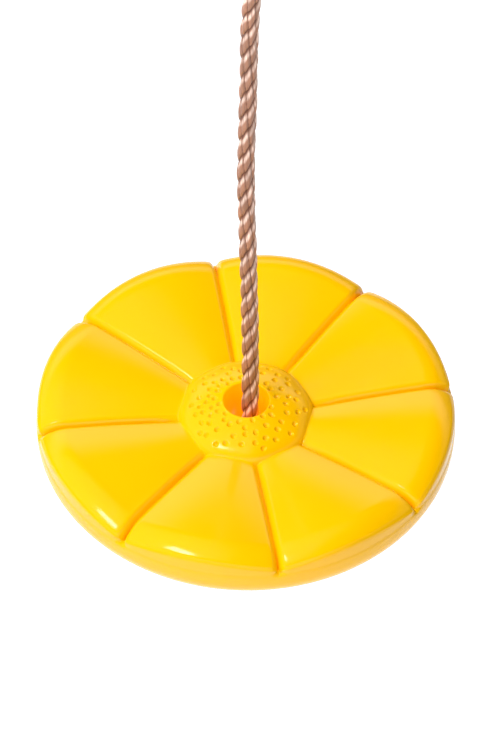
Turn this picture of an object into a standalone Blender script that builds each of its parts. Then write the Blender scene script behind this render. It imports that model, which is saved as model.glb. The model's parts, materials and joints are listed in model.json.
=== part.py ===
"""Hanging disc swing seat: a hollow moulded flower-shaped disc on a knotted rope, with a thimble
eye and a snap hook at the top.

Metres, +Z up. The origin is the hang point, on the inner face of the hook's top bow. The rope
hangs down the Z axis, and the hook's flat side lies in the XZ plane.
"""

import math

import bmesh
import bpy
from mathutils import Matrix, Vector

# ---------------------------------------------------------------- driving dimensions

GAP = 0.0003  # air left between two pieces that touch

# Seat: heights are counted from the seat datum, the level of the grooves' outer ends.
SEAT_DROP = 0.580  # from the hang point down to the seat datum
SEAT_R = 0.140  # greatest radius of the disc
SEAT_DEPTH = 0.033  # from the datum down to the flat underside
SEAT_WALL = 0.003  # thickness of the moulded skin
PETALS = 8
FIRST_GROOVE_DEG = 100.0  # where the first groove points, seen from above
EDGE_ROUND = 0.020  # rounding between the rim band and the underside
BAND_TOP = 0.0062  # from the datum down to the ledge under the petals
BAND_STEP = 0.0009  # how far the rim band stands out of the petals' wall
CROWN_INSET = 0.0097  # from the petals' wall in to where top and sloping edge would meet
CROWN_HEIGHT = 0.0105  # the same corner above the datum
CROWN_ROUND = 0.0240  # rounding of that corner
SHOULDER_HEIGHT = 0.0044  # where the sloping edge would meet the petals' wall, above the datum
SHOULDER_ROUND = 0.0058  # rounding of that corner
PETAL_FOOT = 0.0010  # how far below the datum a petal starts, beside the hub
PETAL_BOW = 0.45  # share of a petal's climb that bends over towards its crown
PETAL_SLOPE = 0.27  # how steeply a petal falls away sideways, where it meets a groove
GROOVE_FOOT = 0.0050  # how far below the datum a groove starts, beside the hub
GROOVE_DEPTH = 0.0032  # depth of a groove between the petals' sides
GROOVE_DEEPEN = 0.0200  # distance from the hub over which a groove comes to that depth
GROOVE_HALF = 0.0034  # half the width of a groove
GROOVE_SHARPNESS = 1.7  # how soon a petal's side turns from its groove to its top
GROOVE_END = 0.0050  # how far short of the petals' wall a groove ends
CORNER_ROUND = 0.0065  # rounding of a petal's outer corners, seen from above
HUB_R = 0.0456  # hub dome, at the grooves
HUB_FLAT = 0.020  # share by which the hub draws in between two grooves
HUB_TOP = 0.0100  # height of the rope hole's rim above the datum
HOLE_R = 0.0153  # rope hole, at its rim
HOLE_FOOT_R = 0.0125  # rope hole, at the underside
HOLE_LIP = 0.0012  # rounding of the hole's rim
RECESS_R = 0.0330  # shallow round recess of the underside, for the washer
RECESS_DEPTH = 0.0060
RECESS_DRAFT = 0.2  # how far the recess narrows, for each metre of its depth
VENT_R = 0.0025  # moulding vent in the underside
VENT_AT = 0.085  # distance of the vent from the axis

# Rope
ROPE_D = 0.012
KNOT_TURNS = 1.5  # turns of the stopper knot round its two core strands
KNOT_AIR = 0.0008  # air between neighbouring strands of the knot
KNOT_TURN_R = 0.0080  # bend where the standing rope leaves the knot's core
KNOT_SWEEP = 0.0120  # height of the sweep from that bend out to the first turn
KNOT_STEP = 0.0052  # distance between two rings of the knot's turns
TAIL_LENGTH = 0.026  # free end below the knot
MELT_SWELL = 0.0006  # how far the melted end swells over the rope's radius

# Load washer
WASHER_R = 0.025
WASHER_HOLE_R = 0.0103
WASHER_THICKNESS = 0.003
WASHER_BEVEL = 0.0005

# Snap hook
HOOK_BAR_D = 0.008
HOOK_LENGTH = 0.080  # over all
HOOK_TOP_R = 0.0170  # bar's middle line in the top bow
HOOK_FOOT_R = 0.0150  # the same in the bottom bow
HINGE_HEIGHT = 0.0045  # gate hinge above the middle of the bottom bow
GATE_AIR = 0.0032  # end of the gate short of the nose's tip
GATE_BEVEL = 0.0014
TANG_HALF = 0.0017  # half the thickness of the tang inside the gate's fork
TANG_R = 0.0032  # round end of the tang about the hinge
GATE_PIN_R = 0.0015
TONGUE_HALF = 0.0012  # half the thickness of the nose's tongue
TONGUE_LENGTH = 0.0085  # from the nose's tip down
LATCH_PIN_R = 0.0012
LATCH_DROP = 0.0062  # latch pin below the nose's tip
LATCH_INSET = 0.0016  # latch pin inside the gate's middle line
PLUNGER_R = 0.0016
PLUNGER_SHARE = 0.4  # share of the gate's bore that the plunger fills; the spring has the rest
BORE_WEB = 0.0021  # metal between the gate's bore and the slot over the tongue
SPRING_WIRE_D = 0.0005
SPRING_PITCH = 0.0014  # most that one curl of the spring rises

# Rope eye: thimble and swaged ferrule
THIMBLE_INNER_R = 0.0100  # inside of the thimble's crown
THIMBLE_METAL = 0.0012
THIMBLE_WRAP_DEG = 196.0  # how far the channel goes round the rope
FERRULE_TOP_DROP = 0.044  # from the bottom bow's middle line down to the ferrule
FERRULE_LENGTH = 0.028
FERRULE_WALL = 0.0030
FERRULE_BEVEL = 0.0012
LEG_BEND_R = 0.030  # bend of the legs where they enter the ferrule
DEAD_END = 0.006  # cut end that shows below the ferrule

# Free rope between the flex point and the knot: (drop below the hang point, X, Y).
ROPE_ROUTE = (
    (0.1600, -0.0002, -0.0063),
    (0.1800, -0.0014, -0.0055),
    (0.2000, -0.0026, -0.0036),
    (0.2250, -0.0034, -0.0014),
    (0.2520, -0.0034, -0.0002),
    (0.2870, -0.0034, 0.0000),
    (0.3140, -0.0036, 0.0000),
    (0.3500, -0.0037, 0.0000),
    (0.3780, -0.0030, 0.0000),
    (0.4210, -0.0014, 0.0000),
    (0.4730, 0.0005, 0.0000),
    (0.5220, 0.0019, 0.0000),
    (0.5700, 0.0025, 0.0000),
)
ROUTE_STEP = 0.016  # distance between two rings of the free rope

# How finely round shapes are divided
SEAT_LINES = (0.0, 0.8, 1.9, 5.0, 12.0)  # degrees from a groove, up to the petal's middle
CAVITY_LINES = (0.0, 6.0, 14.0)
FLEX_CAP = (12.0, 35.0, 60.0)  # degrees from the top, on the free rope's round end
CROWN_STEPS = 11  # of the rope's half turn over the thimble
BAR_SIDES = 12
ROUND_SIDES = 28

# ---------------------------------------------------------------- dependent sizes

ROPE_R = ROPE_D / 2
BAR_R = HOOK_BAR_D / 2
SEAT_Z = -SEAT_DROP
PETAL_R = SEAT_R - BAND_STEP  # the petals' upright wall
CROWN_R = PETAL_R - CROWN_INSET

HOOK_TOP_Z = BAR_R - HOOK_TOP_R  # middle of the top bow
HOOK_FOOT_Z = HOOK_TOP_Z + HOOK_TOP_R + HOOK_FOOT_R + BAR_R * 2 - HOOK_LENGTH
BOW_Z = HOOK_FOOT_Z - HOOK_FOOT_R  # bar's middle line under the thimble
GATE_X = HOOK_FOOT_R
HINGE_Z = HOOK_FOOT_Z + HINGE_HEIGHT
NOSE_ANGLE = -math.acos(GATE_X / HOOK_TOP_R)
NOSE_RISE = HOOK_TOP_Z + HOOK_TOP_R * math.sin(NOSE_ANGLE) - HINGE_Z
GATE_TOP = NOSE_RISE - GATE_AIR
SLOT_FLOOR = NOSE_RISE - TONGUE_LENGTH - 3 * GAP
SLOT_ROOF = TANG_R + 4 * GAP
LATCH_RISE = NOSE_RISE - LATCH_DROP
PLUNGER_FOOT = TANG_R + GAP
BORE_DEPTH = SLOT_FLOOR - BORE_WEB  # blind bore of the gate, above its hinge
PLUNGER_LENGTH = PLUNGER_SHARE * (BORE_DEPTH - PLUNGER_FOOT)
BORE_R = PLUNGER_R + GAP

CHANNEL_IN_R = ROPE_R + 2 * GAP
CHANNEL_OUT_R = CHANNEL_IN_R + THIMBLE_METAL
EYE_R = THIMBLE_INNER_R + CHANNEL_OUT_R  # rope's middle line round the crown
EYE_Z = BOW_Z + BAR_R + GAP - THIMBLE_INNER_R
LEG_Y = ROPE_R + GAP
FERRULE_TOP = BOW_Z - FERRULE_TOP_DROP
FERRULE_FOOT = FERRULE_TOP - FERRULE_LENGTH
FLEX_Z = FERRULE_FOOT - ROPE_R - GAP

RECESS_Z = SEAT_Z - SEAT_DEPTH + RECESS_DEPTH
WASHER_TOP = RECESS_Z - GAP
WASHER_FOOT = WASHER_TOP - WASHER_THICKNESS
CORE_X = (ROPE_D + KNOT_AIR) / 2  # each core strand's distance from the knot's middle
TURN_R = ROPE_D + KNOT_AIR  # a turn's distance from the core strand it goes round
KNOT_PITCH = TURN_R
TURN_LENGTH = 2 * math.pi * TURN_R + 4 * CORE_X
KNOT_HALF = KNOT_TURNS * KNOT_PITCH / 2
SWEEP_DROP = KNOT_HALF + KNOT_TURN_R * KNOT_PITCH / TURN_LENGTH + KNOT_SWEEP
KNOT_X = ROPE_ROUTE[-1][1] - CORE_X  # the standing rope runs straight down into the knot
KNOT_Z = WASHER_FOOT - GAP - SWEEP_DROP - ROPE_R
STRAND_TOP = WASHER_FOOT + WASHER_THICKNESS / 2 - KNOT_Z  # where the free rope meets the knot


# ---------------------------------------------------------------- helpers

def clear_scene():
    for item in list(bpy.data.objects):
        bpy.data.objects.remove(item, do_unlink=True)


def material(name, color, roughness, metallic=0.0):
    made = bpy.data.materials.new(name)
    made.use_nodes = True
    shader = made.node_tree.nodes["Principled BSDF"]
    shader.inputs["Base Color"].default_value = (*color, 1.0)
    shader.inputs["Roughness"].default_value = roughness
    shader.inputs["Metallic"].default_value = metallic
    return made


def joint_point(name, place, parent=None):
    """An empty that stands on a joint's axis."""
    empty = bpy.data.objects.new(name, None)
    empty.empty_display_size = 0.01
    bpy.context.collection.objects.link(empty)
    settle(empty, place, parent)
    return empty


def settle(item, place, parent=None):
    """Put an object at a world place under its parent, which stands unturned."""
    start = Vector((0.0, 0.0, 0.0))
    if parent is not None:
        item.parent = parent
        start = Vector(parent["place"])
    item["place"] = tuple(place)
    item.location = Vector(place) - start


def mesh_object(name, vertices, faces, look):
    mesh = bpy.data.meshes.new(name)
    mesh.from_pydata([tuple(v) for v in vertices], [], faces)
    mesh.validate()
    shaped = bmesh.new()
    shaped.from_mesh(mesh)
    bmesh.ops.recalc_face_normals(shaped, faces=shaped.faces)
    shaped.to_mesh(mesh)
    shaped.free()
    mesh.shade_smooth()
    mesh.set_sharp_from_angle(angle=math.radians(35))
    mesh.materials.append(look)
    item = bpy.data.objects.new(name, mesh)
    bpy.context.collection.objects.link(item)
    return item


def grid_faces(rows, columns, close_rows, close_columns):
    """Quads between neighbouring rings of points."""
    faces = []
    for i in range(rows if close_rows else rows - 1):
        for j in range(columns if close_columns else columns - 1):
            a, b = i * columns, (i + 1) % rows * columns
            k = (j + 1) % columns
            faces.append((a + j, a + k, b + k, b + j))
    return faces


def ring_body(name, loops, look):
    """A body like a ring: one closed outline for each direction round it."""
    points = [p for loop in loops for p in loop]
    return mesh_object(name, points, grid_faces(len(loops), len(loops[0]), True, True), look)


def sleeve_body(name, sections, look):
    """A body swept along a line: closed sections, with both ends filled."""
    points = [p for section in sections for p in section]
    rows, columns = len(sections), len(sections[0])
    faces = grid_faces(rows, columns, False, True)
    faces.append(tuple(range(columns)))
    faces.append(tuple(range((rows - 1) * columns, rows * columns)))
    return mesh_object(name, points, faces, look)


def turned_body(name, outline, sides, look):
    """A solid of revolution about Z, from an outline of (radius, height) off the axis."""
    sections = [
        [
            (r * math.cos(2 * math.pi * k / sides), r * math.sin(2 * math.pi * k / sides), z)
            for k in range(sides)
        ]
        for r, z in outline
    ]
    return sleeve_body(name, sections, look)


def prism(name, outline, half, look):
    """An outline of (x, z) points, as thick as twice half along Y."""
    sections = [[(x, y, z) for x, z in outline] for y in (-half, half)]
    return sleeve_body(name, sections, look)


def arc_points(center, radius, start, stop, steps):
    """Points (u, v) on an arc, with angles in radians."""
    return [
        (
            center[0] + radius * math.cos(start + (stop - start) * k / steps),
            center[1] + radius * math.sin(start + (stop - start) * k / steps),
        )
        for k in range(steps + 1)
    ]


def cutter(item):
    item.hide_render = True
    item.display_type = "WIRE"
    return item


def combine(item, other, operation):
    """Join or cut a body with a guide, which is then left out of the model."""
    step = item.modifiers.new(other.name, "BOOLEAN")
    step.operation = operation
    step.solver = "EXACT"
    step.object = cutter(other)


def rope_tube(name, points, radius, resolution, look, shares=None):
    """A round tube through the points, with filled ends. Shares scale its radius point by point."""
    curve = bpy.data.curves.new(name, "CURVE")
    curve.dimensions = "3D"
    curve.bevel_depth = radius
    curve.bevel_resolution = resolution
    curve.render_resolution_u = 0
    curve.use_fill_caps = True
    spline = curve.splines.new("POLY")
    spline.points.add(len(points) - 1)
    shares = shares or [1.0] * len(points)
    for target, point, share in zip(spline.points, points, shares, strict=True):
        target.co = (*point, 1.0)
        target.radius = share
    spline.use_smooth = True
    curve.materials.append(look)
    item = bpy.data.objects.new(name, curve)
    bpy.context.collection.objects.link(item)
    return item


def smooth_route(points, step):
    """Points about one step apart on a smooth curve through the given ones."""
    knots = [Vector(p) for p in points]
    knots = [2 * knots[0] - knots[1], *knots, 2 * knots[-1] - knots[-2]]
    made = []
    for a, b, c, d in zip(knots, knots[1:], knots[2:], knots[3:]):
        pieces = max(1, round((c - b).length / step))
        for k in range(pieces):
            t = k / pieces
            made.append(
                0.5 * (2 * b + (c - a) * t + (2 * a - 5 * b + 4 * c - d) * t**2
                       + (3 * b - a - 3 * c + d) * t**3)
            )
    return [*made, knots[-2]]


def nearest_gap(points, tube_d, apart):
    """Least air between two stretches of a tube whose middles lie further apart along it."""
    least = math.inf
    run = [0.0]
    for a, b in zip(points, points[1:]):
        run.append(run[-1] + (b - a).length)
    for i, a in enumerate(points):
        for j in range(i + 1, len(points)):
            if run[j] - run[i] > apart:
                least = min(least, (a - points[j]).length - tube_d)
    return least


# ---------------------------------------------------------------- seat

def lerp(a, b, t):
    return a + (b - a) * t


def fillet(before, corner, after, radius, wall, steps):
    """Points of an arc that rounds off a corner between two straight lines, a wall further in."""
    before, corner, after = Vector(before), Vector(corner), Vector(after)
    back, ahead = (before - corner).normalized(), (after - corner).normalized()
    half = back.angle(ahead) / 2
    center = corner + (back + ahead).normalized() * radius / math.sin(half)
    first = (corner + back * radius / math.tan(half) - center).normalized()
    last = (corner + ahead * radius / math.tan(half) - center).normalized()
    turn = math.pi - 2 * half
    points = []
    for k in range(steps + 1):
        out = first * math.sin((1 - k / steps) * turn) + last * math.sin(k / steps * turn)
        points.append(tuple(center + out * (radius - wall) / math.sin(turn)))
    return points


def petal_outline(wall, steps, bends):
    """Middle line of a petal, from the hub over the crown and down to the ledge."""
    run, rise = CROWN_R - HUB_R, CROWN_HEIGHT + PETAL_FOOT
    crown, shoulder = (CROWN_R, CROWN_HEIGHT), (PETAL_R, SHOULDER_HEIGHT)
    before = (HUB_R, CROWN_HEIGHT - rise * (1 - PETAL_BOW))
    top = fillet(before, crown, shoulder, CROWN_ROUND, wall, bends)
    edge = fillet(crown, shoulder, (PETAL_R, -BAND_TOP), SHOULDER_ROUND, wall, bends)
    last = (top[0][0] - HUB_R) / run
    points = []
    for k in range(steps):
        t = last * k / steps
        bowed = (1 - PETAL_BOW) * t + PETAL_BOW * (1 - (1 - t) ** 2)
        points.append((HUB_R + run * t + wall * (1 - k / steps), -PETAL_FOOT + rise * bowed - wall))
    return [*points, *top, *edge, (PETAL_R - wall, -BAND_TOP - wall * 0.2)]


def petal_skin(off, wall, steps, bends):
    """The petals' and grooves' surface, off radians away from a groove."""
    half_petal = math.pi / PETALS
    foot_depth = GROOVE_FOOT - PETAL_FOOT - PETAL_SLOPE * HUB_R * half_petal / 2
    fall_share = (1 - off / half_petal) ** 2
    points = []
    for k, (pr, pz) in enumerate(petal_outline(wall, steps, bends)):
        fade = 1.0
        if k > steps:
            fade = min(max((pz + wall + BAND_TOP) / (SHOULDER_HEIGHT + BAND_TOP), 0.0), 1.0)
        fall = PETAL_SLOPE * pr * half_petal / 2 * fade * fall_share
        depth = lerp(foot_depth, GROOVE_DEPTH, min((pr - HUB_R) / GROOVE_DEEPEN, 1.0)) * fade
        gr = pr - GROOVE_END * (pr - HUB_R) / (PETAL_R - HUB_R)
        away = max(gr * math.sin(off) - wall, 0.0)
        side = 1 - max(1 - away / GROOVE_HALF, 0.0) ** GROOVE_SHARPNESS
        rounded = math.sqrt(1 - max(1 - away / CORNER_ROUND, 0.0) ** 2)
        plan = side if k < steps else rounded
        points.append((lerp(gr, pr, plan), pz - fall - depth * (1 - side)))
    return points


def seat_outline(off, wall, steps, bends):
    """Closed outline (radius, height) of the seat's skin, off radians away from a groove.

    A wall above 0 gives the same outline inside the skin.
    """
    middle = off / (math.pi / PETALS)
    hub_r = HUB_R * (1 - HUB_FLAT * math.sin(middle * math.pi / 2) ** 2) - wall
    dome = HUB_TOP + GROOVE_FOOT
    dome /= math.cos(math.asin((HOLE_R + HOLE_LIP) / HUB_R))
    dome -= wall
    lip = 0.0 if wall else HOLE_LIP
    skin = petal_skin(off, wall, steps, bends)
    foot = math.pi / 2 if wall else math.acos(min((skin[0][1] + GROOVE_FOOT) / dome, 1.0))
    start = math.asin((HOLE_R + wall + lip) / hub_r)
    floor_z = -SEAT_DEPTH + RECESS_DEPTH + wall
    points = [(HOLE_FOOT_R + wall, floor_z)]
    points.append((HOLE_R + wall, HUB_TOP - max(lip, wall)))
    last = 2 if wall else 5
    for k in range(last):
        a = lerp(start, foot, k / last)
        points.append((hub_r * math.sin(a), -GROOVE_FOOT + dome * math.cos(a)))
    draw = 0.0
    if wall:
        points.append((hub_r + wall * 0.6, -GROOVE_FOOT - wall * 0.8))
    else:
        draw = HUB_R - hub_r * math.sin(foot)
    for r, z in skin:
        points.append((r - draw * max(1 - (r - HUB_R) / (CROWN_R - HUB_R), 0.0), z))
    points.append((SEAT_R - wall - BAND_STEP / 2, -BAND_TOP - BAND_STEP - wall * 0.2))
    round_at = (SEAT_R - EDGE_ROUND, -SEAT_DEPTH + EDGE_ROUND)
    points += arc_points(round_at, EDGE_ROUND - wall, 0.0, -math.pi / 2, bends)
    points.append((RECESS_R + wall, -SEAT_DEPTH + wall))
    points.append((RECESS_R - RECESS_DEPTH * RECESS_DRAFT + wall, floor_z))
    return points


def seat_directions(lines):
    """(angle round the axis, angle away from the nearest groove) of every outline."""
    pitch = 2 * math.pi / PETALS
    near = [math.radians(v) for v in lines]
    offs = [*near, pitch / 2, *[pitch - v for v in reversed(near[1:])]]
    return [
        (math.radians(FIRST_GROOVE_DEG) + n * pitch + off, min(off, pitch - off))
        for n in range(PETALS)
        for off in offs
    ]


def seat_ring(name, lines, wall, steps, bends, look):
    loops = []
    for angle, off in seat_directions(lines):
        outline = seat_outline(off, wall, steps, bends)
        loops.append([(r * math.cos(angle), r * math.sin(angle), z) for r, z in outline])
    return ring_body(name, loops, look)


def seat_shell(look):
    """The blow-moulded disc: hollow, with the rope's tube moulded through its middle."""
    shell = seat_ring("seat_shell", SEAT_LINES, 0.0, 5, 3, look)
    cavity = seat_ring("seat_cavity", CAVITY_LINES, SEAT_WALL, 3, 2, look)
    vent = turned_body("seat_vent", [(VENT_R, -SEAT_WALL), (VENT_R, 2 * SEAT_WALL)], 12, look)
    angle = math.radians(FIRST_GROOVE_DEG + 180.0 / PETALS)
    vent.location = (VENT_AT * math.cos(angle), VENT_AT * math.sin(angle), -SEAT_DEPTH)
    for tool in (cavity, vent):
        tool.parent = shell
        combine(shell, tool, "DIFFERENCE")
    return shell


def washer(look):
    e = WASHER_BEVEL
    t = WASHER_THICKNESS
    outline = [
        (WASHER_HOLE_R, -t + e), (WASHER_HOLE_R, -e), (WASHER_HOLE_R + e, 0.0),
        (WASHER_R - e, 0.0), (WASHER_R, -e), (WASHER_R, -t + e), (WASHER_R - e, -t),
        (WASHER_HOLE_R + e, -t),
    ]
    loops = []
    for k in range(ROUND_SIDES):
        a = 2 * math.pi * k / ROUND_SIDES
        loops.append([(r * math.cos(a), r * math.sin(a), z) for r, z in outline])
    return ring_body("load_washer", loops, look)


# ---------------------------------------------------------------- rope

def rope_run_route():
    """Middle line of the free rope, from the flex point down to the knot."""
    start = (0.0, -LEG_Y, FLEX_Z)
    end = (KNOT_X + CORE_X, 0.0, KNOT_Z + STRAND_TOP + GAP)
    between = [(x, y, -drop) for drop, x, y in ROPE_ROUTE]
    return smooth_route([start, *between, end], ROUTE_STEP)


def racetrack(run):
    """Place on a turn of the knot, run metres round it, and its height."""
    bend = math.pi * TURN_R / 2
    rest = run % TURN_LENGTH
    stretches = (
        (bend, CORE_X, 0.0), (2 * CORE_X, None, 1.0), (2 * bend, -CORE_X, math.pi / 2),
        (2 * CORE_X, None, -1.0), (bend, CORE_X, -math.pi / 2),
    )
    for length, center, start in stretches:
        if rest <= length + 1e-9:
            break
        rest -= length
    if center is None:
        x, y = start * (CORE_X - rest), start * TURN_R
    else:
        a = start + rest / TURN_R
        x, y = center + TURN_R * math.cos(a), TURN_R * math.sin(a)
    return Vector((x, y, KNOT_PITCH * run / TURN_LENGTH - KNOT_HALF))


def knot_route(step):
    """Stopper knot about its own middle: down the core, round both strands, down the core."""
    low = -SWEEP_DROP
    turn = [
        Vector((CORE_X, -KNOT_TURN_R + v, low + KNOT_TURN_R + u))
        for v, u in arc_points((0.0, 0.0), KNOT_TURN_R, 0.0, -math.pi / 2, 3)
    ]
    across = Vector((-TURN_R, 0.0, -KNOT_SWEEP)) / 2
    middle = Vector((CORE_X + TURN_R / 2, -KNOT_TURN_R, low + KNOT_SWEEP / 2))
    outward = Vector((0.0, -across.length, 0.0))
    sweep = [
        middle + across * math.cos(math.pi * k / 6) + outward * math.sin(math.pi * k / 6)
        for k in range(1, 7)
    ]
    count = round(KNOT_TURNS * TURN_LENGTH / step)
    turns = [racetrack(KNOT_TURNS * TURN_LENGTH * k / count) for k in range(count + 1)]
    rest = [*turn, *sweep]
    mirrored = [Vector((-p.x, p.y, -p.z)) for p in reversed(rest)]
    top = Vector((CORE_X, 0.0, STRAND_TOP))
    foot = Vector((-CORE_X, 0.0, -SWEEP_DROP - ROPE_R))
    straight = [top.lerp(rest[0], k / 4) for k in range(4)]
    down = [mirrored[-1].lerp(foot, k / 4) for k in range(1, 5)]
    route = [*straight, *rest, *turns, *mirrored, *down]
    air = nearest_gap(route, ROPE_D, 2.2 * ROPE_D)
    print("knot: least air to itself, mm:", round(air * 1e3, 2))
    return route


def rope_run(look):
    """Free rope, with a round top about the point where it bends at the ferrule."""
    route = rope_run_route()
    turns = [math.radians(v) for v in FLEX_CAP]
    cap = [route[0] + Vector((0.0, 0.0, ROPE_R * math.cos(a))) for a in turns]
    shares = [*[math.sin(a) for a in turns], *[1.0] * len(route)]
    return rope_tube("rope_run", [*cap, *route], ROPE_R, 3, look, shares)


def rope_tail(look):
    """Free end below the knot, melted to a small button."""
    swell = ROPE_R + MELT_SWELL
    melt = [(swell * math.cos(a), -TAIL_LENGTH - swell * 0.5 * math.sin(a)) for a in
            (math.radians(v) for v in (0, 30, 55, 78))]
    outline = [(ROPE_R, 0.0), (ROPE_R, -TAIL_LENGTH + ROPE_R / 2), *melt]
    return turned_body("rope_tail", outline, BAR_SIDES, look)


# ---------------------------------------------------------------- rope eye

def eye_side():
    """One side of the eye: (y, z, turn of the outward normal) from the crown to the legs."""
    bend_at = (LEG_Y + LEG_BEND_R, FERRULE_TOP + 0.002)
    reach = math.hypot(bend_at[0], EYE_Z - bend_at[1])
    lean = math.atan2(EYE_Z - bend_at[1], bend_at[0]) - math.acos((EYE_R + LEG_BEND_R) / reach)
    crown = [
        (EYE_R * math.cos(a), EYE_Z + EYE_R * math.sin(a), a)
        for a in (lerp(math.pi / 2, -lean, k / CROWN_STEPS) for k in range(CROWN_STEPS + 1))
    ]
    bend = [
        (bend_at[0] - LEG_BEND_R * math.cos(a), bend_at[1] + LEG_BEND_R * math.sin(a), -a)
        for a in (lerp(lean, 0.0, k / 3) for k in range(4))
    ]
    return crown, bend


def rope_eye(look):
    """Rope round the thimble, with both legs running down through the ferrule."""
    crown, bend = eye_side()
    side = [(y, z) for y, z, _ in [*crown, *bend]]
    dead = [(LEG_Y, z) for z in (FERRULE_TOP - FERRULE_LENGTH / 2, FERRULE_FOOT - DEAD_END)]
    live = [(LEG_Y, z) for z in (FERRULE_TOP - FERRULE_LENGTH / 2, FERRULE_FOOT)]
    left = [(-y, z) for y, z in reversed([*side[1:], *live])]
    route = [Vector((0.0, y, z)) for y, z in [*left, *side, *dead]]
    return rope_tube("rope_eye", route, ROPE_R, 3, look)


def thimble(look):
    """Open channel round the inside of the eye, its two ends nearly meeting at the point."""
    crown, bend = eye_side()
    y0, z0, lean = crown[-1]
    tip_y = CHANNEL_OUT_R * math.cos(lean) + GAP
    run = (y0 - tip_y) / math.sin(-lean)
    tip = (tip_y, z0 - run * math.cos(lean), lean)
    stations = [*crown, *[(lerp(y0, tip[0], t), lerp(z0, tip[1], t), lean) for t in (0.5, 1.0)]]
    stations = [*[(-y, z, math.pi - a) for y, z, a in reversed(stations[1:])], *stations]
    half = math.radians(THIMBLE_WRAP_DEG) / 2
    section = arc_points((0.0, 0.0), CHANNEL_OUT_R, -half, half, 8)
    section += arc_points((0.0, 0.0), CHANNEL_IN_R, half, -half, 8)
    rings = []
    for y, z, a in stations:
        outward = Vector((0.0, math.cos(a), math.sin(a)))
        center = Vector((0.0, y, z))
        rings.append([center - outward * u + Vector((v, 0.0, 0.0)) for u, v in section])
    return sleeve_body("thimble", rings, look)


def ferrule(look):
    """Oval sleeve pressed round the eye's two legs."""
    inner = ROPE_R + GAP
    outer = inner + FERRULE_WALL
    e = FERRULE_BEVEL
    low = -FERRULE_LENGTH
    outline = [
        (inner, low + e / 2), (inner, -e / 2), (inner + e / 2, 0.0), (outer - e, 0.0),
        (outer - e * 0.3, -e * 0.3), (outer, -e), (outer, low + e),
        (outer - e * 0.3, low + e * 0.3), (outer - e, low), (inner + e / 2, low),
    ]
    loops = []
    for side in (1, -1):
        for k in range(ROUND_SIDES // 2 + 1):
            a = math.pi * k / (ROUND_SIDES // 2) + (0.0 if side > 0 else math.pi)
            loops.append([(r * math.cos(a), side * LEG_Y + r * math.sin(a), z) for r, z in outline])
    return ring_body("ferrule", loops, look)


# ---------------------------------------------------------------- snap hook

def hook_route():
    """(x, z, turn of the outward normal) along the bar, from the nose to the hinge end."""
    lean = math.asin((HOOK_TOP_R - HOOK_FOOT_R) / (HOOK_TOP_Z - HOOK_FOOT_Z))
    stations = []
    for center, radius, start, stop, steps in (
        (HOOK_TOP_Z, HOOK_TOP_R, NOSE_ANGLE, math.pi + lean, 18),
        (HOOK_FOOT_Z, HOOK_FOOT_R, math.pi + lean, 2 * math.pi, 16),
    ):
        for k in range(steps + 1):
            a = lerp(start, stop, k / steps)
            stations.append((radius * math.cos(a), center + radius * math.sin(a), a))
    return stations


def hook_body(look):
    """Bent round bar with a flat tang at the hinge and a notched tongue at the nose."""
    rings = []
    for x, z, a in hook_route():
        outward = Vector((math.cos(a), 0.0, math.sin(a)))
        center = Vector((x, 0.0, z))
        ring = []
        for k in range(BAR_SIDES):
            b = 2 * math.pi * (k + 0.5) / BAR_SIDES
            ring.append(center + BAR_R * (outward * math.cos(b) + Vector((0.0, math.sin(b), 0.0))))
        rings.append(ring)
    body = sleeve_body("hook_body", rings, look)

    sink = -HINGE_HEIGHT - BAR_R * 0.3
    tang = [(TANG_R, sink), *arc_points((0.0, 0.0), TANG_R, 0.0, math.pi, 8), (-TANG_R, sink)]
    tang = prism("hook_tang", tang, TANG_HALF, look)
    tang.location = (GATE_X, 0.0, HINGE_Z)
    combine(body, tang, "UNION")

    notch = LATCH_PIN_R + GAP
    reach = BAR_R * 0.65
    foot = NOSE_RISE - TONGUE_LENGTH
    tongue = [
        (reach, NOSE_RISE + BAR_R * 0.4), (-LATCH_INSET, NOSE_RISE + BAR_R * 0.4),
        *arc_points((-LATCH_INSET, LATCH_RISE), notch, math.pi / 2, -math.pi / 2, 6),
        (-LATCH_INSET - notch / 2, LATCH_RISE - notch),
        (-LATCH_INSET - notch / 2, LATCH_RISE - notch * 1.4),
        (-LATCH_INSET + notch / 2, foot), (reach - notch / 2, foot), (reach, foot + notch / 2),
    ]
    tongue = prism("hook_tongue", tongue, TONGUE_HALF, look)
    tongue.location = (GATE_X, 0.0, HINGE_Z)
    combine(body, tongue, "UNION")

    hole = cross_pin("hook_pin_hole", GATE_PIN_R + GAP, BAR_R, look)
    hole.location = (GATE_X, 0.0, HINGE_Z)
    combine(body, hole, "DIFFERENCE")
    return body


def cross_pin(name, radius, half, look, bevel=0.0):
    """A pin along Y, about its own middle."""
    outline = [(radius, -half), (radius, half)]
    if bevel:
        outline = [
            (radius - bevel, -half), (radius, -half + bevel), (radius, half - bevel),
            (radius - bevel, half),
        ]
    pin = turned_body(name, outline, BAR_SIDES, look)
    pin.data.transform(Matrix.Rotation(math.pi / 2, 4, "X"))
    return pin


def box_cutter(name, x, y, low, high, look):
    outline = [(-x, low), (x, low), (x, high), (-x, high)]
    return prism(name, outline, y, look)


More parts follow.
